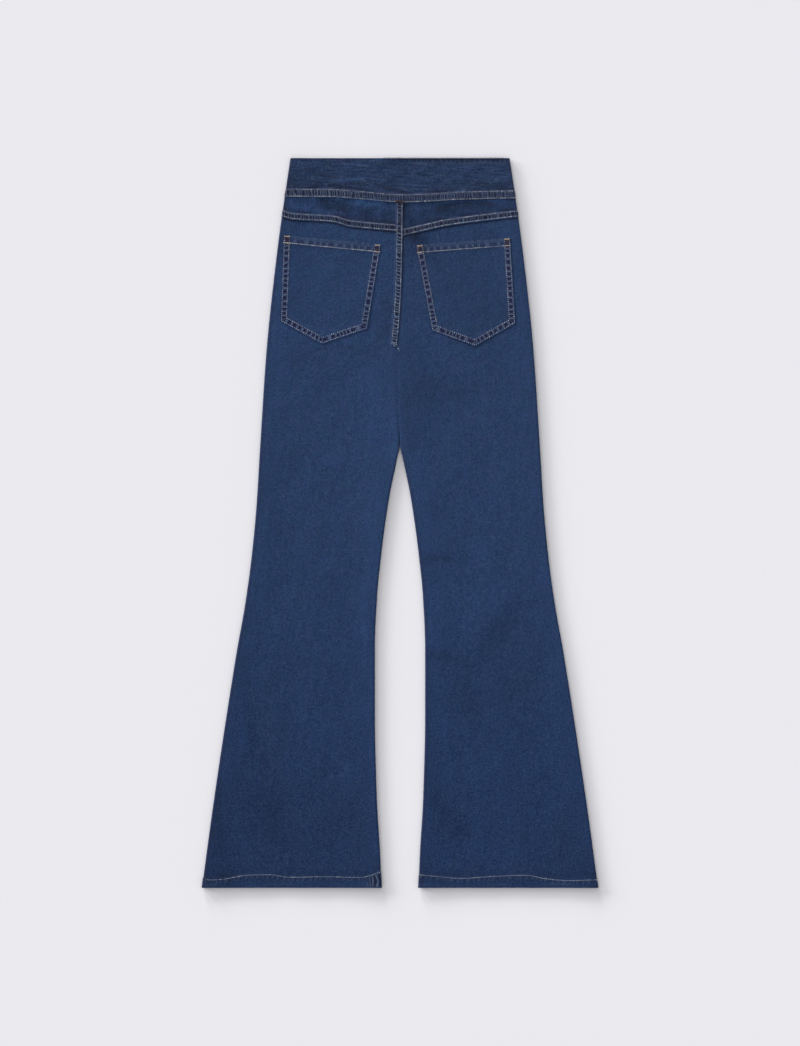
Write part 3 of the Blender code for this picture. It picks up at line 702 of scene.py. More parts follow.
@dataclass(frozen=True)
class DenimFinish:
    """Indigo stretch denim: a fine twill with slubs along its warp, and wear and painted shade on its
    seams.

    The last eleven numbers are for the felled bands: rough is how fine their wear is broken up along and
    across them, jumble how much, spot_edge where the dark spots end between the middle and the rows,
    diamond how much they narrow there, chevron how much they lean to it, and row_from where the pale fuzz
    of the rows begins. The dark spots, in the troughs of the puckers, are dye and painted shade. A number
    that multiplies a place is the noise's steps in a metre.
    """

    name: str
    grain: Grain = Grain.DOWN
    greener: Colour = (0.0143, 0.0403, 0.1040, 1.0)
    redder: Colour = (0.0168, 0.0380, 0.1105, 1.0)
    low_dye: Colour = (0.0099, 0.0290, 0.0880, 1.0)
    # The colour of the painted shade along edges and in hollows, and of the dye and painted shade in the
    # puckers' troughs
    dark: Colour = (0.0085, 0.0082, 0.0255, 1.0)
    pale: Colour = (0.126, 0.168, 0.235, 1.0)
    mottle: Colour = (0.0270, 0.0390, 0.0640, 1.0)
    twill_pitch: float = 0.0008
    streak: float = 0.35
    slub: float = 0.25
    fleck: float = 2.2
    blotch: float = 0.38
    patch: float = 0.22
    blotches: tuple[float, float] = (150.0, 125.0)
    speck: float = 0.20
    stroke: float = 0.0
    wander: float = 0.0
    relief: float = 0.00012
    band_dark: float = 1.0
    band_pale: float = 0.64
    row_pale: float = 0.20
    spotted: float = 0.35
    jumble: float = 0.38
    rough: tuple[float, float] = (1.8, 3.3)
    diamond: float = 0.45
    spot_edge: tuple[float, float] = (0.60, 0.90)
    dark_crest: tuple[float, float] = (0.45, 0.72)
    row_from: float = 0.60
    chevron: float = 0.0

    def material(self) -> bpy.types.Material:
        """Build the material."""
        graph = Graph(self.name)
        x, y, z = graph.place()
        cross, along = (x, y) if self.grain is Grain.DOWN else (y, x)
        cross = cross + graph.noise((cross * 26.0, along * 26.0, 7.0), 1.0) * self.wander
        streak = graph.noise((cross * 620.0, along * 60.0, z * 60.0), 3.0, 0.6)
        slub = graph.noise((cross * 210.0, along * 24.0, z * 40.0), 2.0)
        fleck = graph.noise((cross * 430.0, along * 380.0, z * 200.0), 3.0, 0.7)
        blotch = graph.noise((cross * self.blotches[0], along * self.blotches[1], z * 10.0), 3.0, 0.6)
        patch = graph.noise((cross * 24.0, along * 18.0, z * 10.0), 2.0, 0.6)
        twill = ((cross * 0.8 + along) * (2.0 * math.pi / self.twill_pitch)).sine()
        tone = 1.0 + slub * self.slub + blotch * self.blotch + patch * self.patch + twill * 0.05
        # Painted shade and painted light over the folds, creases and laps, with the wash's patches, from
        # TONES
        painted_light_and_wash = graph.attribute("painted_light_and_wash") + 1.0
        tone = tone * painted_light_and_wash
        hue = graph.noise((cross * 70.0, along * 62.0, z * 10.0 + 3.0), 2.0)
        dye = graph.blend(hue.between(-0.22, 0.22), self.greener, self.redder)
        dye = graph.blend(y.between(-0.50, 0.16), self.low_dye, dye)
        mottle = graph.scaled(self.mottle, (fleck * self.fleck + streak * self.streak) * painted_light_and_wash)
        cloth = graph.added(graph.scaled(dye, tone.math("MAXIMUM", 0.2)), mottle, (0.003, 0.009, 0.028))
        cloth = graph.blend(fleck.between(0.13, 0.30) * self.speck, cloth, self.pale)
        if self.stroke > 0.0:
            lean = along + cross * 0.35
            marks = graph.noise((cross * 560.0, lean * 95.0, z * 10.0 + 9.0), 2.0, 0.6)
            cloth = graph.blend(marks.between(0.10, 0.27) * self.stroke, cloth, self.pale)
        cloth = self.wear_and_shade(graph, cloth, fleck)
        height = twill * 0.35 + streak * 1.2 + fleck * 1.6
        return graph.finish({"Base Color": cloth, "Roughness": 0.86 + fleck * 0.1,
                             "Normal": graph.bump(0.6, self.relief, height), "Specular IOR Level": 0.16,
                             "Sheen Weight": 0.04, "Sheen Roughness": 0.5})

    def wear_and_shade(self, graph: Graph, cloth: Any, fleck: Term) -> bpy.types.NodeSocket:
        """Rub the seams' raised parts pale, paint shade in along edges and hollows, and darken the puckers'
        troughs.

        Args:
            graph: the material.
            cloth: the plain cloth's colour.
            fleck: the cloth's small mottling.

        Returns:
            The worn colour, with its painted shade.
        """
        valley, worn = graph.attribute("valley"), graph.attribute("worn")
        seam, along, between = graph.attribute("seam"), graph.attribute("along"), graph.attribute("between")
        rubbed = (worn * (0.55 + fleck * 1.4)).math("MULTIPLY", 0.6, clamp=True)
        # Painted shade along edges, under laps and in hollows and creases
        sunk = (valley * (0.85 - fleck * 0.8)).math("MULTIPLY", 1.0, clamp=True)
        cloth = graph.blend(sunk, graph.blend(rubbed, cloth, self.pale), self.dark)
        rough = graph.noise((along * self.rough[0], between * self.rough[1], 0.0), 3.0, 0.65)
        from_middle = (between * 2.0 - 1.0).math("ABSOLUTE")
        leaning = along + from_middle * self.chevron
        crest = (leaning * (2.0 * math.pi)).math("COSINE") * 0.5 + 0.5 + rough * self.jumble
        tooth = graph.noise((along * 3.1, between * 0.8, 4.0), 2.0, 0.5).between(-0.08, 0.12)
        inner = 1.0 - from_middle.between(0.66, 0.92)
        spot = 1.0 - (from_middle + rough * self.spotted).between(*self.spot_edge)
        rows = from_middle.between(self.row_from, 0.86) * (1.0 - from_middle.between(1.12, 1.36))
        trough = 1.0 - (crest + from_middle * self.diamond).between(*self.dark_crest)
        # Dark spots in the puckers' troughs: dye and painted shade
        cloth = graph.blend(seam * spot * trough * self.band_dark, cloth, self.dark)
        cloth = graph.blend(seam * inner * crest.between(0.62, 0.95) * self.band_pale, cloth, self.pale)
        return graph.blend(seam * rows * (0.10 + tooth * 0.65) * self.row_pale, cloth, self.pale)


@dataclass(frozen=True)
class ThreadFinish:
    """Matt sewing thread whose shade drifts along a seam."""

    name: str
    main: Colour
    drift: Colour
    shade: Colour
    blued: Colour
    patchy: float = 2.2

    def material(self) -> bpy.types.Material:
        """Build the material."""
        graph = Graph(self.name)
        x, y, z = graph.place()
        slow = graph.noise((x * 60.0, y * 60.0, 0.0), 2.0)
        rubbed = graph.noise((x * 34.0 + 7.0, y * 34.0, 0.0), 3.0, 0.7)
        quick = graph.noise((x * 900.0, y * 900.0, z * 900.0), 2.0)
        ply = ((x - y) * (2.0 * math.pi / 0.00045)).sine()
        colour = graph.blend((slow * 2.4 + 0.42).math("MULTIPLY", 1.0, clamp=True), self.main, self.drift)
        colour = graph.blend((quick * 1.8 + 0.25).math("MULTIPLY", 0.8, clamp=True), colour, self.shade)
        colour = graph.blend(rubbed.between(-0.05, 0.22) * 0.75, colour, self.blued)
        each = graph.noise((x * 330.0, y * 330.0, 5.0), 1.0)
        return graph.finish({"Base Color": graph.scaled(colour, 1.0 + each * self.patchy), "Roughness": 0.7,
                             "Normal": graph.bump(0.5, 0.00008, ply), "Specular IOR Level": 0.25})


@dataclass(frozen=True)
class FloorFinish:
    """A plain pale sweep of paper."""

    name: str = "pale_paper"
    colour: Colour = (0.823, 0.815, 0.855, 1.0)

    def material(self) -> bpy.types.Material:
        """Build the material."""
        graph = Graph(self.name)
        x, y, _z = graph.place()
        tooth = graph.noise((x * 500.0, y * 500.0, 0.0), 2.0)
        return graph.finish({"Base Color": graph.scaled(self.colour, 1.0 + tooth * 0.01), "Roughness": 0.95,
                             "Specular IOR Level": 0.1})


# --------------------------------------------------------------------------------------- walls

def grid_normals(points: Array, upwards: bool) -> Array:
    """Unit normals of a face's points, in rows down the garment, pointing up or down on the whole."""
    normal = np.cross(np.gradient(points, axis=1), np.gradient(points, axis=0))
    normal /= np.maximum(np.linalg.norm(normal, axis=2, keepdims=True), 1e-12)
    wanted = 1.0 if upwards else -1.0
    return normal * (wanted if normal[..., 2].mean() > 0.0 else -wanted)


def wall_mesh(name: str, outside: Array, inside: Array, relief: Relief,
              facing_up: bool) -> bpy.types.Object:
    """Make a closed shell from the points of its two faces.

    Args:
        name: the piece's name.
        outside: points of the outer face, rows by columns by three.
        inside: points of the inner face.
        relief: holds the wear and the painted shade and light of the outer face.
        facing_up: whether the outer face looks up.

    Returns:
        The piece.
    """
    rows, count = outside.shape[:2]
    points = np.concatenate((outside.reshape(-1, 3), inside.reshape(-1, 3)))
    index = np.arange(rows * count).reshape(rows, count)
    corner_grids = (index[:-1, :-1], index[1:, :-1], index[1:, 1:], index[:-1, 1:])
    cells = np.stack(corner_grids, axis=-1).reshape(-1, 4)
    border = np.concatenate((index[0, :], index[1:, -1], index[-1, -2::-1], index[-2:0:-1, 0]))
    ahead = np.roll(border, -1)
    rim = np.stack((border, ahead, ahead + rows * count, border + rows * count), axis=-1)
    faces = np.concatenate((cells, cells[:, ::-1] + rows * count, rim))
    leftwards = outside[0, -1, 0] < outside[0, 0, 0]
    if leftwards == facing_up:
        faces = faces[:, ::-1]
    mesh = bpy.data.meshes.new(name)
    mesh.from_pydata(points.tolist(), [], faces.tolist())
    for label, values in relief.wear_and_shade().items():
        layer = mesh.attributes.new(label, "FLOAT", "POINT")
        flat = values.ravel()
        layer.data.foreach_set("value", np.concatenate((flat, flat * 0.0)).astype(np.float32))
    mesh.shade_smooth()
    mesh.set_sharp_from_angle(angle=math.radians(50.0))
    made = bpy.data.objects.new(name, mesh)
    bpy.context.scene.collection.objects.link(made)
    return made


class Column(NamedTuple):
    """A line down a panel: the zone it is in, and how far along the zone."""

    zone: str
    along: float


@dataclass
class Cloth:
    """One cut piece of cloth, laid on the form of its solid."""

    node: str
    slot: str
    finish: bpy.types.Material

    def shell(self) -> bpy.types.Object:
        """Build the piece's mesh, with its relief."""
        raise NotImplementedError

    def relief(self, relief: Relief) -> None:
        """Work the piece's relief, wear and painted shade out."""
        raise NotImplementedError

    def make(self, flat: Point, area: float, *under: bpy.types.Object) -> bpy.types.Object:
        """Build the piece, and hide the solid that it replaces.

        Args:
            flat: width and length of the cut; not used.
            area: flat area of the cut; not used.
            under: the pieces that it lies on; not used.

        Returns:
            The finished piece.
        """
        piece = self.shell()
        piece.data.materials.append(self.finish)
        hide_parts(self.node)
        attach(piece, BODY)
        LOG.info("%s: %d faces", piece.name, len(piece.data.polygons))
        return piece

    def joined(self, columns: Sequence[tuple[Array, Array]], layer: Layer,
               lowest: float) -> bpy.types.Object:
        """Join a wall's columns, with the piece's relief on its outer face.

        Args:
            columns: points on the outer and inner faces of each column.
            layer: which way the outer face looks.
            lowest: the least height of the outer face.

        Returns:
            The bare piece.
        """
        is_back = layer is Layer.BACK
        outer, inner = (np.stack(face, axis=1) for face in zip(*columns))
        relief = Relief(outer[..., 0], CUT.length / 2.0 - outer[..., 1], 1.0 if is_back else 0.0)
        self.relief(relief)
        outer = outer + grid_normals(outer, is_back) * relief.height[..., None]
        outer[..., 2] = np.maximum(outer[..., 2], lowest)
        return wall_mesh(f"{self.node}_cloth", outer, inner, relief, is_back)


def bend(start: Array, height: Array, outwards: int, towards: int, turn: Array, share: float,
         wall: float) -> tuple[Array, Array, Array, Array]:
    """Points on both faces of a wall that leaves a flat run in a round bend.

    Args:
        start: X of the bend's first points on the wall's neutral line.
        height: Z of those points.
        outwards: sign of X that the bend runs in.
        towards: sign of Z that it turns to.
        turn: its whole angle at each row.
        share: how far along the bend the points are.
        wall: thickness of the wall.

    Returns:
        X and Z on the outer face, then X and Z on the inner face.
    """
    length = CUT.arc_length(wall)
    turn = np.maximum(turn, 1e-4)
    radius = length / turn
    angle = turn * share
    x = start + outwards * radius * np.sin(angle)
    z = height + towards * radius * (1.0 - np.cos(angle))
    offset_x = outwards * np.sin(angle) * wall / 2.0
    offset_z = -towards * np.cos(angle) * wall / 2.0
    return x + offset_x, z + offset_z, x - offset_x, z - offset_z


def column_faces(down: Array, outside_x: Array, outside_z: Array, inside_x: Array,
                 inside_z: Array) -> tuple[Array, Array]:
    """Points of a line or of a whole grid on a wall's outer face, then on its inner face."""
    y = CUT.length / 2.0 - down
    return np.stack((outside_x, y, outside_z), axis=-1), np.stack((inside_x, y, inside_z), axis=-1)


@dataclass
class Panel(Cloth):
    """A leg or yoke panel, from its side seam to the seat seam or the inseam."""

    side: Side
    layer: Layer
    middle_pitch: float = 0.0022
    arc_steps: int = 6
    fell_steps: int = 8
    narrowest: float = 0.16
    crowding: float = 0.35

    def underside(self, across: Array, down: Array) -> Array:
        """Height of the inner face of the back layer."""
        outer_start, inner_start = CUT.arc_starts(self.side, down)
        at_outer = bell(across - outer_start, CUT.edge_spread)
        at_inner = bell(across - inner_start, CUT.edge_spread) * CUT.inseam_lift(down)
        edge = at_outer + at_inner - at_outer * at_inner
        middle = CUT.middle_underside + crease_height(FOLDS, across, down)
        middle = middle + crease_height(CREASES, across, down)
        middle = np.maximum(middle, CUT.wall + 0.00015)
        return mix(middle, CUT.edge_height - CUT.wall, edge)

    def columns(self) -> list[Column]:
        """Lines down the panel, from the side seam inwards."""
        widest = float(CUT.side_seam(CUT.length) - CUT.inseam(CUT.length))
        steps = round(0.5 * (widest + self.narrowest) / self.middle_pitch)
        found = [Column("side", 1.0 - step / self.arc_steps) for step in range(self.arc_steps)]
        for step in range(steps + 1):
            share = step / steps
            eased = 0.5 - 0.5 * math.cos(math.pi * share)
            found.append(Column("middle", mix(share, eased, self.crowding)))
        found += [Column("fell", (step + 1) / self.fell_steps) for step in range(self.fell_steps)]
        found += [Column("inner", step / self.arc_steps) for step in range(1, self.arc_steps + 1)]
        return found

    def column_points(self, column: Column, down: Array) -> tuple[Array, Array]:
        """Points of one column on the outer and inner faces, before any relief."""
        level = column.zone in ("middle", "fell")
        return column_faces(down, *(self.level_points if level else self.bent_points)(column, down))

    def level_points(self, column: Column, down: Array) -> tuple[Array, Array, Array, Array]:
        """X and Z on a level column's outer face, then X and Z on its inner face."""
        outer_start, inner_start = CUT.arc_starts(self.side, down)
        felled = CUT.fell_width + CUT.fell_slope - CUT.arc_length(CUT.wall)
        foot = inner_start + self.side.sign * felled
        ends = (outer_start, foot) if column.zone == "middle" else (foot, inner_start)
        across = mix(*ends, column.along)
        is_back = self.layer is Layer.BACK
        inside_z = self.underside(across, down) if is_back else np.full_like(down, CUT.wall)
        outside_z = inside_z + CUT.wall if is_back else np.zeros_like(down)
        return across, outside_z, across, inside_z

    def bent_points(self, column: Column, down: Array) -> tuple[Array, Array, Array, Array]:
        """The same of a column in the bend at a side."""
        towards = self.layer.towards
        is_back = self.layer is Layer.BACK
        at_inner = column.zone == "inner"
        outer_start, inner_start = CUT.arc_starts(self.side, down)
        start = inner_start if at_inner else outer_start
        turn = (CUT.inseam_bend(down) if at_inner else np.ones_like(down)) * math.pi / 2.0
        base = CUT.wall / 2.0 + (self.underside(start, down) if is_back else np.zeros_like(down))
        outwards = -self.side.sign if at_inner else self.side.sign
        outside_x, outside_z, inside_x, inside_z = bend(start, base, outwards, towards, turn,
                                                        column.along, CUT.wall)
        if column.along == 1.0:
            level = CUT.edge_height / 2.0 - towards * CUT.seam_gap / 2.0
            clear = np.maximum if is_back else np.minimum
            outside_z, inside_z = clear(outside_z, level), clear(inside_z, level)
        if is_back and at_inner:
            # The two legs press against each other below the crotch, and stay level there
            dip, gap = 0.0002, 0.00004
            pressed = ease(CUT.crotch_down - 0.010, CUT.crotch_down + 0.010, down)
            pressed = pressed * fade(CUT.fork_down - 0.030, CUT.fork_down + 0.012, down)
            flat = base + CUT.wall / 2.0 - dip * column.along ** 2
            outside_z = mix(outside_z, np.maximum(outside_z, flat), pressed)
            level_x = mix(inner_start, CUT.seat_seam(down) + self.side.sign * gap, column.along)
            outside_x = mix(outside_x, level_x, pressed)
        return outside_x, outside_z, inside_x, inside_z

    def seam_down(self, column: Column, seam: Curve) -> float:
        """Find how far down a column meets a seam that runs across the back."""
        down = np.array([float(seam(self.side.sign * 0.08))])
        for _ in range(4):
            outside, _inside = self.column_points(column, down)
            down = np.array([float(seam(outside[0, 0]))])
        return float(down[0])

    def rows(self, column: Column) -> list[float]:
        """Distances down of the points of a column."""
        raise NotImplementedError

    def edges(self, relief: Relief) -> tuple[Array, Array]:
        """Distances of the points from the panel's outer and inner edges."""
        outer = (CUT.outer_edge(self.side, relief.down) - relief.across) * self.side.sign
        inner = (relief.across - CUT.inner_edge(self.side, relief.down)) * self.side.sign
        return outer, inner

    def shell(self) -> bpy.types.Object:
        """Build the panel's mesh, with its relief."""
        columns = [self.column_points(column, np.array(self.rows(column))) for column in self.columns()]
        meeting = CUT.edge_height / 2.0 + CUT.seam_gap / 2.0
        return self.joined(columns, self.layer, meeting if self.layer is Layer.BACK else 0.0)


@dataclass
class LegPanel(Panel):
    """A front or back leg, from the yoke or the waistband to the hem."""

    pocket: Pocket | None = None
    seat_pitch: float = 0.0017
    leg_pitch: float = 0.0042
    hem_pitch: float = 0.0012
    straight_from: float = 0.130
    hem_from: float = 1.022
    seat_to: float = 0.290
    top_steps: int = 22

    def rows(self, column: Column) -> list[float]:
        """Distances down of the points of a column."""
        if self.layer is Layer.BACK:
            top = self.seam_down(column, CUT.yoke_seams[self.side]) + CUT.seam_gap
            found = crowded(top, self.straight_from, self.top_steps)
        else:
            top = CUT.front_band_depth + CUT.seam_gap
            found = spaced(top, self.straight_from, self.leg_pitch)
        found += spaced(self.straight_from, self.seat_to, self.seat_pitch)
        found += spaced(self.seat_to, self.hem_from, self.leg_pitch)
        found += spaced(self.hem_from, CUT.length, self.hem_pitch)
        return found + [CUT.length]

    def relief(self, relief: Relief) -> None:
        """Add the seams, the hem and the swells of a leg."""
        outer, inner = self.edges(relief)
        across, down = relief.across, relief.down
        flat_edge = np.minimum(outer, np.where(down > CUT.crotch_down, inner, 1.0))
        calm = ease(0.001, 0.012, flat_edge)
        seam_end = fade(CUT.crotch_down - 0.006, CUT.crotch_down + 0.004, down)
        if self.layer is Layer.BACK:
            for height, size, stretch, seed in ((0.00018, 0.045, 2.2, 3), (0.00007, 0.012, 1.6, 30)):
                swell = undulate(across, down, size, stretch, seed + self.side.sign)
                relief.height += height * calm * swell
            below_yoke = down - CUT.yoke_seams[self.side](across)
            relief.gather(YOKE_GATHER.beyond(0.0004, 0.004), across, below_yoke, 0.7)
            # Painted shade below the yoke's lap
            relief.edge_shade(below_yoke, 0.0017, 1.3)
            if self.side is Side.LEFT:
                relief.height += CUT.fell_rise * CUT.felled(inner, CUT.fell_width) * seam_end
                relief.gather(SEAT_GATHER, down, inner, seam_end)
                relief.rows(SEAT_GATHER, inner, seam_end)
                relief.hollow(down, inner, SEAT_GATHER.far, 0.15, 73)
            else:
                relief.gather(SEAT_GATHER.beyond(SEAT_GATHER.height, 0.003), down, inner, 0.6 * seam_end)
                # Painted shade beside the left leg's lap over the seat seam
                relief.edge_shade(inner, 0.0018, 0.7 * seam_end)
        else:
            relief.height += crease_height(FRONT_CREASES, across, down)
            relief.height -= 0.00012 * (1.0 + undulate(across, down, 0.05, 2.0, 5 + self.side.sign))
            relief.gather(YOKE_GATHER._replace(height=0.0003), across, down - CUT.front_band_depth, 0.7)
            # Painted shade along the front's seat seam
            relief.edge_shade(inner, 0.0020, 0.8 * seam_end)
        # Painted shade along the edges that face left: the left leg's outer edge and the right leg's inseam
        touching = fade(CUT.fork_down - 0.010, CUT.fork_down + 0.014, down)
        leftwards = 0.90 if self.side is Side.LEFT else 0.0
        relief.edge_shade(inner, 0.0040, 0.7 * (0.9 - leftwards) * (1.0 - seam_end) * (1.0 - touching))
        relief.edge_shade(outer, 0.0042, 0.75 * leftwards)
        relief.gather(EDGE_GATHER, down, outer, 0.7)
        relief.gather(EDGE_GATHER, down, inner, 0.6 * (1.0 - seam_end))
        self.hem_relief(relief)
        if self.pocket is not None:
            run, away = line_distance(self.pocket.outline(), across, down)
            relief.gather(POCKET_DRAG, run, away, 0.6)
            # Painted shadow round the pocket's edge
            relief.edge_shade(away, 0.0013, 0.25)

    def hem_relief(self, relief: Relief) -> None:
        """Raise the turned-up hem, with the roping below its stitches."""
        above = CUT.length - relief.down
        row = CUT.hem_rows[self.side](relief.across)
        rise = CUT.hem_rise if self.layer is Layer.BACK else 0.0
        relief.height += rise * fade(-0.001, 0.0025, above - row)
        relief.groove(above, row)
        near_hem = fade(0.030, 0.045, above)
        roping = HEM_GATHER._replace(far=0.0, near=-0.05, marked=False)
        relief.gather(roping, relief.across, above - row, 0.65 * near_hem)
        beside_inseam = bell(relief.across + 0.036, 0.010)
        relief.gather(HEM_GATHER._replace(height=0.0), relief.across, row - above, 0.20 * near_hem)
        close = HEM_GATHER._replace(pitch=0.0060, near=0.0, far=row, height=0.0)
        relief.gather(close, relief.across, above, 0.75 * beside_inseam * near_hem)
        # Painted shade along the hem's bottom edge
        relief.edge_shade(above, 0.0012, 0.2)
        rubbed_at, rubbed_width = 0.0052, 0.0009
        stretches = ease(-0.1, 0.6, wobble(relief.across, 0.05, 75))
        relief.worn += 0.30 * stretches * bell(above - rubbed_at, rubbed_width)


@dataclass
class Yoke(Panel):
    """A back yoke, felled over the leg along its lower edge."""

    lap_step: float = 0.0008
    plain_step: float = 0.0016
    plain_depth: float = 0.030

    def rows(self, column: Column) -> list[float]:
        """Distances down of the points of a column."""
        top = self.seam_down(column, CUT.waist_seam) + CUT.seam_gap
        bottom = self.seam_down(column, CUT.yoke_seams[self.side])
        lap = bottom - CUT.fell_width - 2.0 * CUT.fell_slope
        found = crowded(top, lap, round(self.plain_depth / self.plain_step))
        laps = round((bottom - lap) / self.lap_step)
        return found + [mix(lap, bottom, step / laps) for step in range(laps + 1)]

    def relief(self, relief: Relief) -> None:
        """Add the felled seams and the drag of the waistband."""
        outer, inner = self.edges(relief)
        across, down = relief.across, relief.down
        calm = ease(0.001, 0.012, outer)
        relief.height += 0.00022 * calm * undulate(across, down, 0.022, 0.8, 40 + self.side.sign)
        above = CUT.yoke_seams[self.side](across) - down
        rise = CUT.felled(above, CUT.fell_width)
        off_lap = ease(0.0105, 0.0118, inner) if self.side is Side.LEFT else 1.0
        relief.gather(YOKE_GATHER, across, above, off_lap)
        if self.side is Side.LEFT:
            rise = np.maximum(rise, CUT.felled(inner, CUT.fell_width))
            relief.gather(SEAT_GATHER, down, inner)
            relief.rows(SEAT_GATHER, inner)
        else:
            # Painted shade beside the left yoke's lap over the seat seam
            relief.edge_shade(inner, 0.0020, 0.9)
        relief.height += CUT.fell_rise * rise
        relief.rows(YOKE_GATHER, above)
        relief.hollow(across, above, YOKE_GATHER.far, 0.9, 71)
        below_band = down - CUT.waist_seam(across)
        relief.gather(WAIST_GATHER.beyond(0.0004, 0.004), across, below_band, 0.35)
        # Painted shade below the waistband's lap, slight here
        relief.edge_shade(below_band, 0.0013, 0.08)
        # Painted shade along the outer edge, stronger on the left
        relief.edge_shade(outer, 0.0026, 0.7 if self.side is Side.LEFT else 0.15)


@dataclass
class Waistband(Cloth):
    """Half of the elasticated waistband, from side seam to side seam."""

    layer: Layer
    middle_pitch: float = 0.0015
    row_pitch: float = 0.0013
    arc_steps: int = 6
    width: float = 0.33
    depth: float = 0.060

    def underside(self, across: Array, down: Array) -> Array:
        """Height of the inner face of the back half."""
        edge = CUT.side_seam(down) - CUT.edge_height / 2.0
        near = bell(np.abs(across) - edge, CUT.edge_spread)
        return mix(CUT.band_underside, CUT.edge_height - CUT.band_wall, near)

    def lower_edge(self, across: Array) -> Array:
        """Distance down of this half's lower edge."""
        if self.layer is Layer.BACK:
            return CUT.waist_seam(across)
        return np.full_like(across, CUT.front_band_depth)

    def bent(self, side: Side, along: float, shares: Array) -> tuple[Array, Array]:
        """A column of the bend at a side seam, at a share of the way round it."""
        down = shares * self.lower_edge(np.array([side.sign * self.width / 2.0]))[0]
        start = CUT.outer_edge(side, down) - side.sign * CUT.edge_height / 2.0
        base = CUT.band_wall / 2.0 + (self.underside(start, down) if self.layer is Layer.BACK else 0.0)
        turn = np.full_like(down, math.pi / 2.0)
        towards = self.layer.towards
        out_x, out_z, in_x, in_z = bend(start, base, side.sign, towards, turn, along, CUT.band_wall)
        if along == 1.0:
            out_z[:] = in_z[:] = CUT.edge_height / 2.0 - towards * CUT.seam_gap / 2.0
        return column_faces(down, out_x, out_z, in_x, in_z)

    def shell(self) -> bpy.types.Object:
        """Build the band's mesh, with its relief."""
        is_back = self.layer is Layer.BACK
        steps = round(self.width / self.middle_pitch)
        shares = np.linspace(0.0, 1.0, round(self.depth / self.row_pitch) + 1)
        bends = [step / self.arc_steps for step in range(1, self.arc_steps + 1)]
        columns = [self.bent(Side.LEFT, share, shares) for share in reversed(bends)]
        for step in range(steps + 1):
            down = shares * self.depth
            for _ in range(3):
                left, right = (CUT.outer_edge(s, down) - s.sign * CUT.edge_height / 2.0 for s in Side)
                across = mix(left, right, step / steps)
                down = shares * self.lower_edge(across)
            low = self.underside(across, down) if is_back else np.full_like(down, CUT.band_wall)
            high = low + CUT.band_wall if is_back else np.zeros_like(down)
            columns.append(column_faces(down, across, high, across, low))
        columns += [self.bent(Side.RIGHT, share, shares) for share in bends]
        return self.joined(columns, self.layer, -math.inf if is_back else 0.0)

    def relief(self, relief: Relief) -> None:
        """Add the elastic's fine ripples, the felled lower edge and the turned upper edge."""
        across, down = relief.across, relief.down
        above = self.lower_edge(across) - down
        outer = CUT.side_seam(down) - np.abs(across)
        calm = ease(0.001, 0.010, outer)
        share = 1.0 if self.layer is Layer.BACK else 0.35
        fine = undulate(across, down, 0.016, 0.22, 50)
        relief.height += (fine * 0.00012 + undulate(across, down, 0.030, 0.5, 51) * 0.00020) * calm * share
        # Painted shade in the troughs of the fine ripples
        relief.valley += 0.10 * ease(0.1, 1.2, -fine)
        relief.worn += 0.07 * ease(0.3, 1.4, fine)
        relief.height += CUT.fell_rise * CUT.felled(above, CUT.band_fell_width) * share
        relief.gather(WAIST_GATHER, across, above, share * (1.0 - 0.3 * ease(-0.065, -0.045, across)))
        relief.rows(WAIST_GATHER, above, share)
        relief.hollow(across, above, WAIST_GATHER.far, 0.8 * share, 72)
        middle = bell(across + 0.020, 0.035)
        # Painted shade along the top edge, less near the middle
        relief.edge_shade(down, 0.0013, 0.9 - 0.75 * middle)
        # Painted shade along the left side edge
        relief.edge_shade(outer, 0.0030, 0.35 - 0.35 * np.sign(across))
        relief.gather(TURNED_GATHER, across, down, 0.24 * ease(-0.01, 0.04, across) * share)


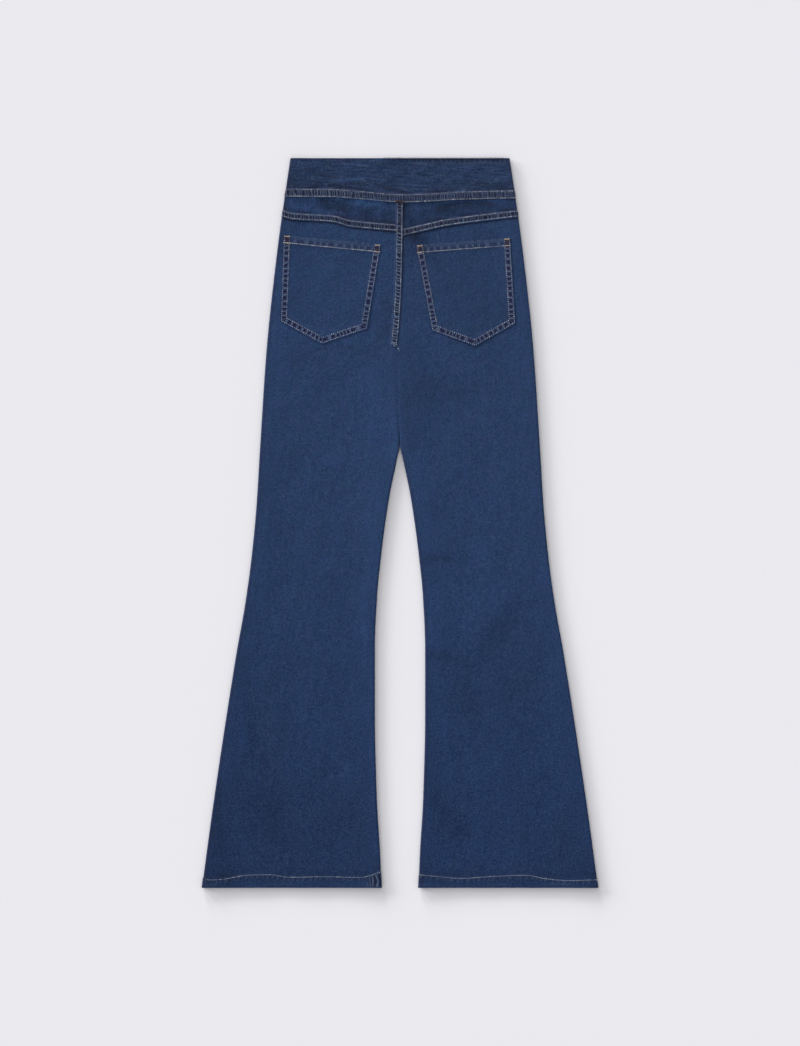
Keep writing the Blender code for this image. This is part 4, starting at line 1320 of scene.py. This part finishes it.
@dataclass
class Pocket(Cloth):
    """A five-cornered patch pocket that lies on a back leg."""

    leg: LegPanel
    outer_top: Point
    inner_top: Point
    inner_bottom: Point
    tip: Point
    outer_bottom: Point
    tip_share: float
    pitch: float = 0.0013
    gap: float = 0.00005

    def outline(self) -> list[Point]:
        """The sewn edge: down one side, round the tip and up the other."""
        return [self.outer_top, self.outer_bottom, self.tip, self.inner_bottom, self.inner_top]

    def shell(self) -> bpy.types.Object:
        """Build the pocket's mesh, on the leg's own surface."""
        width = math.dist(self.outer_top, self.inner_top)
        depth = math.dist(self.inner_top, self.inner_bottom)
        left_steps = round(width * self.tip_share / self.pitch)
        right_steps = round(width * (1.0 - self.tip_share) / self.pitch)
        us = np.concatenate((np.linspace(0.0, self.tip_share, left_steps + 1),
                             np.linspace(self.tip_share, 1.0, right_steps + 1)[1:]))
        vs = np.linspace(0.0, 1.0, round(depth / self.pitch) + 1)
        top = np.outer(1.0 - us, self.outer_top) + np.outer(us, self.inner_top)
        to_tip = (us / self.tip_share)[:, None]
        past_tip = ((us - self.tip_share) / (1.0 - self.tip_share))[:, None]
        before = mix(np.array(self.outer_bottom), np.array(self.tip), to_tip)
        after = mix(np.array(self.tip), np.array(self.inner_bottom), past_tip)
        low = np.where(us[:, None] <= self.tip_share, before, after)
        plan = mix(top[None], low[None], vs[:, None, None])
        across, down = plan[..., 0], plan[..., 1]
        base = self.leg.underside(across, down) + CUT.wall + self.gap
        relief = Relief(across, down)
        self.relief(relief)
        outside, inside = column_faces(down, across, base + CUT.pocket_wall + relief.height, across, base)
        return wall_mesh(f"{self.node}_cloth", outside, inside, relief, True)

    def relief(self, relief: Relief) -> None:
        """Add the folded edges, the gathers between the rows and the mouth's hem."""
        across, down = relief.across, relief.down
        run, away = line_distance(self.outline(), across, down)
        mouth_run, mouth = line_distance([self.outer_top, self.inner_top], across, down)
        folded = CUT.felled(away, CUT.pocket_fold_width)
        hemmed = CUT.felled(mouth, CUT.pocket_mouth_depth)
        relief.height += CUT.pocket_rise * np.maximum(folded, hemmed)
        for height, size, seed in ((0.00012, 0.030, 60), (0.00005, 0.009, 62)):
            relief.height += height * undulate(across, down, size, 1.2, seed + self.leg.side.sign)
        below_mouth = ease(0.008, 0.012, mouth)
        relief.gather(POCKET_GATHER, run, away, below_mouth)
        beside = fade(0.0082, 0.0096, away) * ease(0.0020, 0.0030, mouth) * (1.0 - below_mouth)
        # Painted shade along the folded sides just below the mouth
        relief.valley += 0.7 * beside
        relief.groove(away, POCKET_GATHER.near)
        relief.groove(away, POCKET_GATHER.far, below_mouth)
        relief.gather(MOUTH_GATHER, mouth_run, mouth, 0.5 * ease(0.009, 0.013, away))
        relief.groove(mouth, MOUTH_GATHER.far)
        dotted = np.clip(0.6 + 0.9 * wobble(mouth_run, 0.0058, 76), 0.0, 1.4)
        relief.worn += 0.55 * dotted * bell(mouth, 0.0018) + 0.14 * hemmed
        relief.worn += 0.12 * bell(away, 0.0012)


# --------------------------------------------------------------------------------------- sewing

class NodeBuilder(NodeTree):
    """Builds a Geometry Nodes tree with named inputs."""

    def __init__(self, name: str) -> None:
        """Make a tree that takes and gives a geometry."""
        super().__init__(bpy.data.node_groups.new(name, "GeometryNodeTree"))
        for way in ("INPUT", "OUTPUT"):
            self.tree.interface.new_socket("Geometry", in_out=way, socket_type="NodeSocketGeometry")
        self.entry = self.node("NodeGroupInput")

    def option(self, name: str, kind: str, default: Any = None) -> None:
        """Add a named input."""
        socket = self.tree.interface.new_socket(name, in_out="INPUT", socket_type=kind)
        if default is not None:
            socket.default_value = default

    def given(self, name: str) -> bpy.types.NodeSocket:
        """The socket of a named input."""
        return self.entry.outputs[name]

    def finish(self, geometry: bpy.types.NodeSocket) -> bpy.types.GeometryNodeTree:
        """Send a geometry to the output."""
        self.node("NodeGroupOutput", sockets={0: geometry})
        return self.tree


def stitch_tree() -> bpy.types.GeometryNodeTree:
    """Stitches along every line of a mesh: short rounded threads, a little uneven."""
    build = NodeBuilder("stitches")
    for name, default in (("Pitch", 0.0033), ("Length", 0.0029), ("Thickness", 0.0006), ("Turn", 0.0),
                          ("Unevenness", 0.12)):
        build.option(name, "NodeSocketFloat", default)
    build.option("Seed", "NodeSocketInt", 1)
    build.option("Thread", "NodeSocketMaterial")
    lines = build.node("GeometryNodeMeshToCurve", sockets={0: build.given("Geometry")})
    points = build.node("GeometryNodeCurveToPoints", {"mode": "LENGTH"},
                        {0: lines.outputs[0], "Length": build.given("Pitch")})
    thread = build.node("GeometryNodeMeshUVSphere", sockets={"Segments": 8, "Rings": 5, "Radius": 0.5})
    smooth = build.node("GeometryNodeSetShadeSmooth", sockets={0: thread.outputs[0]})
    heading = build.node("FunctionNodeAlignRotationToVector", {"axis": "X", "pivot_axis": "Z"},
                         {"Vector": points.outputs["Tangent"]})
    angle = build.node("FunctionNodeRandomValue", {"data_type": "FLOAT"},
                       {2: -0.10, 3: 0.10, "Seed": build.given("Seed")})
    turn = build.node("ShaderNodeMath", {"operation": "ADD"},
                      {0: angle.outputs[1], 1: build.given("Turn")})
    axis = build.node("FunctionNodeAxisAngleToRotation",
                      sockets={"Axis": (0.0, 0.0, 1.0), "Angle": turn.outputs[0]})
    facing = build.node("FunctionNodeRotateRotation", {"rotation_space": "LOCAL"},
                        {"Rotation": heading.outputs[0], "Rotate By": axis.outputs[0]})
    size = build.node("ShaderNodeCombineXYZ", sockets={
        0: build.given("Length"), 1: build.given("Thickness"), 2: build.given("Thickness")})
    least, most = (build.node("ShaderNodeMath", {"operation": operation},
                              {0: 1.0, 1: build.given("Unevenness")}) for operation in ("SUBTRACT", "ADD"))
    vary = build.node("FunctionNodeRandomValue", {"data_type": "FLOAT"},
                      {2: least.outputs[0], 3: most.outputs[0], "Seed": build.given("Seed")})
    scale = build.node("ShaderNodeVectorMath", {"operation": "SCALE"},
                       {0: size.outputs[0], "Scale": vary.outputs[1]})
    placed = build.node("GeometryNodeInstanceOnPoints",
                        sockets={"Points": points.outputs[0], "Instance": smooth.outputs[0],
                                 "Rotation": facing.outputs[0], "Scale": scale.outputs[0]})
    real = build.node("GeometryNodeRealizeInstances", sockets={0: placed.outputs[0]})
    dressed = build.node("GeometryNodeSetMaterial",
                         sockets={0: real.outputs[0], "Material": build.given("Thread")})
    return build.finish(dressed.outputs[0])


class Cover:
    """The outer faces of finished pieces, to lay stitches on."""

    def __init__(self, pieces: Sequence[bpy.types.Object], from_above: bool) -> None:
        """Store the pieces' faces."""
        self.from_above = from_above
        self.trees = []
        for piece in pieces:
            mesh = piece.data
            self.trees.append(BVHTree.FromPolygons([v.co for v in mesh.vertices],
                                                   [p.vertices for p in mesh.polygons]))

    def height(self, across: float, down: float) -> float | None:
        """Z of the outermost cloth over or under a place, or None beside the cloth."""
        sign = 1.0 if self.from_above else -1.0
        start = Vector((across, CUT.length / 2.0 - down, sign * 0.1))
        found = [tree.ray_cast(start, Vector((0.0, 0.0, -sign)))[0] for tree in self.trees]
        heights = [hit.z for hit in found if hit is not None]
        if not heights:
            return None
        return max(heights) if self.from_above else min(heights)


@dataclass
class Thread:
    """A kind of stitch: its sizes and its thread."""

    tree: bpy.types.GeometryNodeTree
    material: bpy.types.Material
    slot: str
    pitch: float = 0.0031
    length: float = 0.0015
    thickness: float = 0.00108
    turn: float = 0.0
    unevenness: float = 0.24
    sunk: float = 0.00004
    front_sunk: float = 0.00028
    step: float = 0.0016

    def sew(self, name: str, rows: Sequence[Sequence[Point]], cover: Cover, seed: int) -> bpy.types.Object:
        """Sew rows of stitches on the cloth.

        Args:
            name: the piece's name.
            rows: lines of places, across and down.
            cover: the cloth.
            seed: picks the unevenness.

        Returns:
            The piece.
        """
        points: list[Point3] = []
        lines: list[tuple[int, int]] = []
        for row in rows:
            before = None
            for across, down in walked(row, self.step):
                height = cover.height(across, down)
                if height is None:
                    before = None
                    continue
                height += self.thickness / 2.0 - (self.sunk if cover.from_above else self.front_sunk)
                points.append((across, CUT.length / 2.0 - down, height))
                if before is not None:
                    lines.append((before, len(points) - 1))
                before = len(points) - 1
        mesh = bpy.data.meshes.new(name)
        mesh.from_pydata(points, lines, [])
        made = bpy.data.objects.new(name, mesh)
        bpy.context.scene.collection.objects.link(made)
        modifier = made.modifiers.new("stitches", "NODES")
        modifier.node_group = self.tree
        given = {"Pitch": self.pitch, "Length": self.length, "Thickness": self.thickness, "Turn": self.turn,
                 "Unevenness": self.unevenness, "Seed": seed, "Thread": self.material}
        for socket in self.tree.interface.items_tree:
            if socket.in_out == "INPUT" and socket.name in given:
                modifier[socket.identifier] = given[socket.name]
        graph = bpy.context.evaluated_depsgraph_get()
        baked = bpy.data.meshes.new_from_object(made.evaluated_get(graph))
        made.modifiers.clear()
        made.data = baked
        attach(made, BODY)
        LOG.info("%s: %d faces", name, len(baked.polygons))
        return made


def walked(row: Sequence[Point], step: float) -> list[Point]:
    """Places about a step apart along a line of straight stretches."""
    found: list[Point] = []
    for start, end in zip(row, row[1:]):
        count = max(1, math.ceil(math.dist(start, end) / step))
        found += [tuple(mix(first, last, i / count) for first, last in zip(start, end))
                  for i in range(count)]
    return found + [tuple(row[-1])]


def inset(points: Sequence[Point], distance: float, inside: Point) -> list[Point]:
    """Move a line of straight stretches sideways, towards a place inside it."""
    moved = []
    for start, end in zip(points, points[1:]):
        along = Vector((end[0] - start[0], end[1] - start[1])).normalized()
        side = Vector((-along.y, along.x))
        if side.dot(Vector(inside) - Vector(start)) < 0.0:
            side = -side
        moved.append((Vector(start) + side * distance, along, side))
    found = [tuple(moved[0][0])]
    for (first, first_along, _), (second, second_along, _) in zip(moved, moved[1:]):
        spread = first_along.x * second_along.y - first_along.y * second_along.x
        gap = second - first
        share = (gap.x * second_along.y - gap.y * second_along.x) / spread
        found.append(tuple(first + first_along * share))
    last = Vector(points[-1]) + moved[-1][2] * distance
    return found + [tuple(last)]


def shortened(row: Sequence[Point], cut: float) -> list[Point]:
    """Take a little off both ends of a line."""
    def moved(end: Point, towards: Point) -> Point:
        """The end, moved towards its neighbour."""
        share = cut / math.dist(end, towards)
        return mix(end[0], towards[0], share), mix(end[1], towards[1], share)

    return [moved(row[0], row[1]), *row[1:-1], moved(row[-1], row[-2])]


# --------------------------------------------------------------------------------------- garment

FADED = (0.150, 0.175, 0.225, 1.0)
# The turn of a stitch that lies across its row
CROSSWAYS = math.pi / 2.0


@dataclass
class Jeggings:
    """The whole garment."""

    denim: DenimFinish = DenimFinish("denim_legs", chevron=0.28)
    band_denim: DenimFinish = DenimFinish(
        "denim_waistband", Grain.ACROSS, (0.0128, 0.0325, 0.0800, 1.0), (0.0158, 0.0308, 0.0865, 1.0),
        (0.0140, 0.0318, 0.0835, 1.0), pale=FADED, slub=0.5, blotch=0.5, patch=0.35, blotches=(380.0, 62.0),
        speck=0.32, stroke=0.44, wander=0.020, band_dark=0.86, band_pale=0.34, row_pale=0.42, spotted=0.30,
        jumble=0.75, rough=(2.4, 5.0), diamond=0.0, spot_edge=(0.67, 0.88), dark_crest=(0.28, 0.70),
        row_from=0.26)
    pocket_denim: DenimFinish = DenimFinish(
        "denim_pockets", dark=(0.0120, 0.0115, 0.0430, 1.0), pale=FADED, band_pale=0.36, row_pale=0.12,
        spotted=0.08, jumble=0.35, rough=(1.8, 1.05), diamond=0.0, spot_edge=(0.44, 0.76),
        dark_crest=(0.42, 0.80))
    yoke_denim: DenimFinish = DenimFinish(
        "denim_yokes", Grain.DOWN, (0.0120, 0.0348, 0.0910, 1.0), (0.0142, 0.0325, 0.0975, 1.0),
        (0.0142, 0.0350, 0.0960, 1.0), pale=FADED, fleck=2.1, blotch=0.7, patch=0.4, speck=0.28,
        stroke=0.16, row_pale=0.46, band_pale=0.26, jumble=0.55, rough=(2.0, 3.3), diamond=0.25,
        spot_edge=(0.42, 0.76), dark_crest=(0.50, 0.92), row_from=0.42)
    topstitch: ThreadFinish = ThreadFinish(
        "topstitch_thread", (0.56, 0.60, 0.62, 1.0), (0.50, 0.46, 0.49, 1.0), (0.24, 0.28, 0.34, 1.0),
        (0.10, 0.13, 0.20, 1.0))
    # A dimmer copy of the topstitch thread, which paints shade on the rows that catch less light
    shaded_thread: ThreadFinish = ThreadFinish(
        "shaded_topstitch_thread", (0.43, 0.44, 0.49, 1.0), (0.38, 0.32, 0.38, 1.0), (0.20, 0.21, 0.28, 1.0),
        (0.11, 0.14, 0.22, 1.0), 1.2)
    tan: ThreadFinish = ThreadFinish(
        "bartack_thread", (0.47, 0.38, 0.26, 1.0), (0.36, 0.25, 0.19, 1.0), (0.18, 0.13, 0.105, 1.0),
        (0.27, 0.24, 0.24, 1.0), 0.8)
    maroon: ThreadFinish = ThreadFinish(
        "corner_thread", (0.090, 0.040, 0.050, 1.0), (0.060, 0.032, 0.052, 1.0),
        (0.024, 0.017, 0.036, 1.0), (0.030, 0.040, 0.085, 1.0))
    brown: ThreadFinish = ThreadFinish(
        "crossing_thread", (0.052, 0.027, 0.030, 1.0), (0.034, 0.022, 0.030, 1.0),
        (0.016, 0.012, 0.016, 1.0), (0.026, 0.028, 0.040, 1.0))
    navy: ThreadFinish = ThreadFinish(
        "edge_thread", (0.012, 0.007, 0.014, 1.0), (0.026, 0.014, 0.026, 1.0),
        (0.005, 0.004, 0.009, 1.0), (0.018, 0.020, 0.038, 1.0))
    backs: list[bpy.types.Object] = field(default_factory=list)
    fronts: list[bpy.types.Object] = field(default_factory=list)
    pockets: list[Pocket] = field(default_factory=list)

    def build(self) -> None:
        """Make the cloth and sew it."""
        legs, band, yokes, pockets = (finish.material() for finish in (
            self.denim, self.band_denim, self.yoke_denim, self.pocket_denim))
        front_band = Waistband("waistband_front", "waistband", band, Layer.FRONT, 0.003, 0.002)
        self.fronts.append(front_band.make((0.333, 0.066), 0.0205))
        for side in Side:
            self.build_side(side, legs, yokes, pockets)
        back_band = Waistband("waistband_back", "waistband", band, Layer.BACK, 0.0012, 0.0009)
        self.backs.append(back_band.make((0.333, 0.073), 0.0215, self.fronts[0]))
        self.sew()

    def build_side(self, side: Side, legs: bpy.types.Material, yokes: bpy.types.Material,
                   pockets: bpy.types.Material) -> None:
        """Make the cloth of one side."""
        front = LegPanel(f"front_leg_{side.word}", "denim", legs, side, Layer.FRONT, 0.0045, 4, 3,
                         seat_pitch=0.0045, leg_pitch=0.008, hem_pitch=0.0016)
        below = front.make((0.300, 1.020), 0.2180)
        self.fronts.append(below)
        back = LegPanel(f"back_leg_{side.word}", "denim", legs, side, Layer.BACK)
        back.pocket = Pocket(f"back_pocket_{side.word}", "denim", pockets, back, *POCKET_CORNERS[side])
        leg = back.make((0.300, 0.990), 0.2100, below)
        pocket = back.pocket.make((0.155, 0.190), 0.0215, leg)
        yoke = Yoke(f"back_yoke_{side.word}", "denim", yokes, side, Layer.BACK, 0.0016)
        self.backs += [leg, pocket, yoke.make((0.190, 0.070), 0.0075, below)]
        self.pockets.append(back.pocket)

    def seam_row(self, seam: Curve, start: float, end: float, gap: float) -> list[Point]:
        """A row of stitches above a seam that runs across the garment."""
        return [(x, float(seam(x)) - gap) for x in np.linspace(start, end, 40)]

    def seat_row(self, gap: float, first: float, last: float, count: int) -> list[Point]:
        """A row of stitches beside the seat seam."""
        return [(float(CUT.seat_seam(down)) - gap, float(down)) for down in np.linspace(first, last, count)]

    def hem_row(self, side: Side) -> list[Point]:
        """A hem's row of stitches."""
        ends = sorted((float(CUT.inner_edge(side, CUT.length - 0.02)), float(CUT.outer_edge(side, 1.03))))
        return [(x, CUT.length - float(CUT.hem_rows[side](x))) for x in np.linspace(*ends, 60)]

    def sew(self) -> None:
        """Sew every row of stitches that shows, and the plain ones of the front."""
        tree = stitch_tree()
        top, under = Cover(self.backs, True), Cover(self.fronts, False)
        pale = Thread(tree, self.topstitch.material(), "thread")
        # The same thread dimmed, as painted shade on some rows
        shaded_thread = replace(pale, material=self.shaded_thread.material())
        self.sew_seams(pale, shaded_thread, top)
        for pocket in self.pockets:
            self.sew_pocket(pocket, pale, top)
        hems = [self.hem_row(side) for side in Side]
        replace(pale, thickness=0.0008, length=0.0013).sew("hem_stitches", hems, top, 6)
        band_rows = [[(x, CUT.front_band_depth - gap) for x in (-0.164, 0.164)]
                     for gap in (WAIST_GATHER.near, WAIST_GATHER.far)]
        seat_rows = [self.seat_row(gap, 0.058, 0.262, 30) for gap in (SEAT_GATHER.near, SEAT_GATHER.far)]
        pale.sew("front_stitches", hems + band_rows + seat_rows, under, 7)
        crossing = Thread(tree, self.brown.material(), "thread", 0.0007, 0.0036, 0.0010, CROSSWAYS, 0.35)
        crossing.sew("crossing_bartack", [[(-0.0062, 0.0620), (0.0054, 0.0626)]], top, 9)
        edge = Thread(tree, self.navy.material(), "thread", 0.0036, 0.0040, 0.0013, CROSSWAYS, 0.12)
        edge.sew("waist_edge_stitches", [[(-0.022, 0.0004), (0.148, 0.0004)]], top, 8)

    def sew_seams(self, pale: Thread, shaded_thread: Thread, top: Cover) -> None:
        """Sew the double rows of the waistband, the yokes and the seat.

        Args:
            pale: the stitches in the paler thread.
            shaded_thread: the stitches in the dimmer copy of the thread, painted shade on rows that catch
                less light.
            top: the cloth of the back.
        """
        waist = ((CUT.waist_seam, -0.1655, 0.1675),)
        yoke = ((CUT.yoke_seams[Side.LEFT], -0.1705, -0.0056), (CUT.yoke_seams[Side.RIGHT], 0.0055, 0.1710))
        for name, thread, thickness, unevenness, seams, gap, seed in (
                ("waist_stitches_lower", pale, 0.00088, 0.50, waist, WAIST_GATHER.near, 1),
                ("waist_stitches_upper", shaded_thread, 0.00082, 0.50, waist, WAIST_GATHER.far, 31),
                ("yoke_stitches_lower", pale, 0.00096, 0.42, yoke, YOKE_GATHER.near, 2),
                ("yoke_stitches_upper", pale, 0.00070, 0.42, yoke, YOKE_GATHER.far, 32)):
            rows = [self.seam_row(*seam, gap) for seam in seams]
            replace(thread, thickness=thickness, unevenness=unevenness).sew(name, rows, top, seed)
        on_yokes, on_legs = (0.0660, 0.1000), (0.1025, CUT.crotch_down - 0.005)
        for name, thread, thickness, unevenness, ends, gap, seed in (
                ("seat_stitches_top_near", shaded_thread, 0.00084, 0.50, on_yokes, SEAT_GATHER.near, 33),
                ("seat_stitches_top_far", shaded_thread, 0.00066, 0.50, on_yokes, SEAT_GATHER.far, 34),
                ("seat_stitches_near", pale, 0.00090, 0.40, on_legs, SEAT_GATHER.near, 3),
                ("seat_stitches_far", pale, 0.00064, 0.40, on_legs, SEAT_GATHER.far, 35)):
            row = self.seat_row(gap, *ends, 60)
            if name == "seat_stitches_near":
                x, y = row[-1]
                row += [(x + 0.0016, y + 0.005), (x + 0.0044, y + 0.010)]
            replace(thread, thickness=thickness, unevenness=unevenness).sew(name, [row], top, seed)

    def sew_pocket(self, pocket: Pocket, pale: Thread, top: Cover) -> None:
        """Sew a pocket's two rows, its mouth's hem, and the bartacks and ticks at its corners.

        Args:
            pocket: the pocket.
            pale: the stitches in the paler thread.
            top: the cloth of the back.
        """
        side = pocket.leg.side
        corners_out = (pocket.outer_top, pocket.inner_top)
        centre = ((pocket.outer_top[0] + pocket.inner_top[0]) / 2.0, 0.18)
        rows = [shortened(inset(pocket.outline(), gap, centre), 0.0014)
                for gap in (POCKET_GATHER.near, POCKET_GATHER.far)]
        mouth = shortened(inset(corners_out, MOUTH_GATHER.far, centre), 0.0012)
        finer = replace(pale, material=self.shaded_thread.material(), thickness=0.00102, length=0.0013,
                        unevenness=0.40)
        finer.sew(f"pocket_stitches_{side.word}", rows, top, 10 + side.sign)
        heavier = replace(pale, thickness=0.0012, length=0.0016, unevenness=0.35)
        heavier.sew(f"mouth_stitches_{side.word}", [mouth], top, 12 + side.sign)
        bar = Thread(pale.tree, self.tan.material(), "bartack", 0.0005, 0.0021, 0.0006, CROSSWAYS, 0.2)
        tick = Thread(pale.tree, self.maroon.material(), "bartack", 0.0013, 0.0017, 0.0007, CROSSWAYS, 0.4)
        # Each line: how far below the mouth's edge it is, and where it starts and ends beside the corner
        bar_lines = ((0.0015, 0.0018, 0.0085), (MOUTH_GATHER.far + 0.0004, 0.0026, 0.0082))
        tick_lines = ((0.0038, 0.0026, 0.0080), (0.0060, 0.0022, 0.0084), (0.0083, 0.0026, 0.0080))
        for thread, name, seed, lines in ((bar, "bartacks", 20, bar_lines),
                                          (tick, "corner_ticks", 24, tick_lines)):
            bars = []
            for corner, other in (corners_out, corners_out[::-1]):
                along = (Vector(other) - Vector(corner)).normalized()
                bars += [[tuple(Vector(corner) + along * place + Vector((0.0, depth))) for place in ends]
                         for depth, *ends in lines]
            thread.sew(f"{name}_{side.word}", bars, top, seed + side.sign)


# --------------------------------------------------------------------------------------- studio

@dataclass
class Studio:
    """A pale floor, a low soft key light from the upper left, an even sky and the camera overhead."""

    floor_half: float = 6.0
    floor_height: float = -0.0003
    picture_height: float = 1.5066
    lens: float = 100.0
    sensor: float = 36.0
    sky: Colour = (1.0, 1.0, 1.0, 1.0)
    sky_strength: float = 0.64
    key_strength: float = 6.29
    key_elevation: float = 10.5
    key_azimuths: tuple[float, ...] = (108.0, 132.0, 156.0)
    key_spread: float = 12.0

    def build(self) -> None:
        """Make the floor, the lights and the camera."""
        bpy.context.scene.view_settings.view_transform = "Standard"
        mesh = bpy.data.meshes.new("floor")
        ground = [(x * self.floor_half, y * self.floor_half, self.floor_height)
                  for x, y in ((-1, -1), (1, -1), (1, 1), (-1, 1))]
        mesh.from_pydata(ground, [], [(0, 1, 2, 3)])
        floor = bpy.data.objects.new("floor", mesh)
        bpy.context.scene.collection.objects.link(floor)
        mesh.materials.append(FloorFinish().material())
        world = bpy.data.worlds.new("sky")
        world.use_nodes = True
        world.node_tree.nodes["Background"].inputs[0].default_value = self.sky
        world.node_tree.nodes["Background"].inputs[1].default_value = self.sky_strength
        bpy.context.scene.world = world
        for number, azimuth in enumerate(self.key_azimuths):
            self.key(f"key_{number}", math.radians(azimuth))
        view = bpy.data.cameras.new("camera")
        view.lens = self.lens
        view.sensor_width = self.sensor
        camera = bpy.data.objects.new("camera", view)
        camera.location = (0.0, 0.0, self.picture_height * self.lens / self.sensor)
        bpy.context.scene.collection.objects.link(camera)
        bpy.context.scene.camera = camera

    def key(self, name: str, azimuth: float) -> None:
        """Add one part of the key light."""
        light = bpy.data.lights.new(name, "SUN")
        light.energy = self.key_strength / len(self.key_azimuths)
        light.angle = math.radians(self.key_spread)
        lamp = bpy.data.objects.new(name, light)
        elevation = math.radians(self.key_elevation)
        towards = Vector((math.cos(azimuth) * math.cos(elevation), math.sin(azimuth) * math.cos(elevation),
                          math.sin(elevation)))
        lamp.rotation_mode = "QUATERNION"
        lamp.rotation_quaternion = towards.to_track_quat("Z", "Y")
        bpy.context.scene.collection.objects.link(lamp)


def main() -> None:
    """Build the studio and the garment."""
    logging.basicConfig(level=logging.INFO, format="%(message)s")
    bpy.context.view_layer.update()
    Studio().build()
    Jeggings().build()
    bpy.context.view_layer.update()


if __name__ == "__main__":
    main()
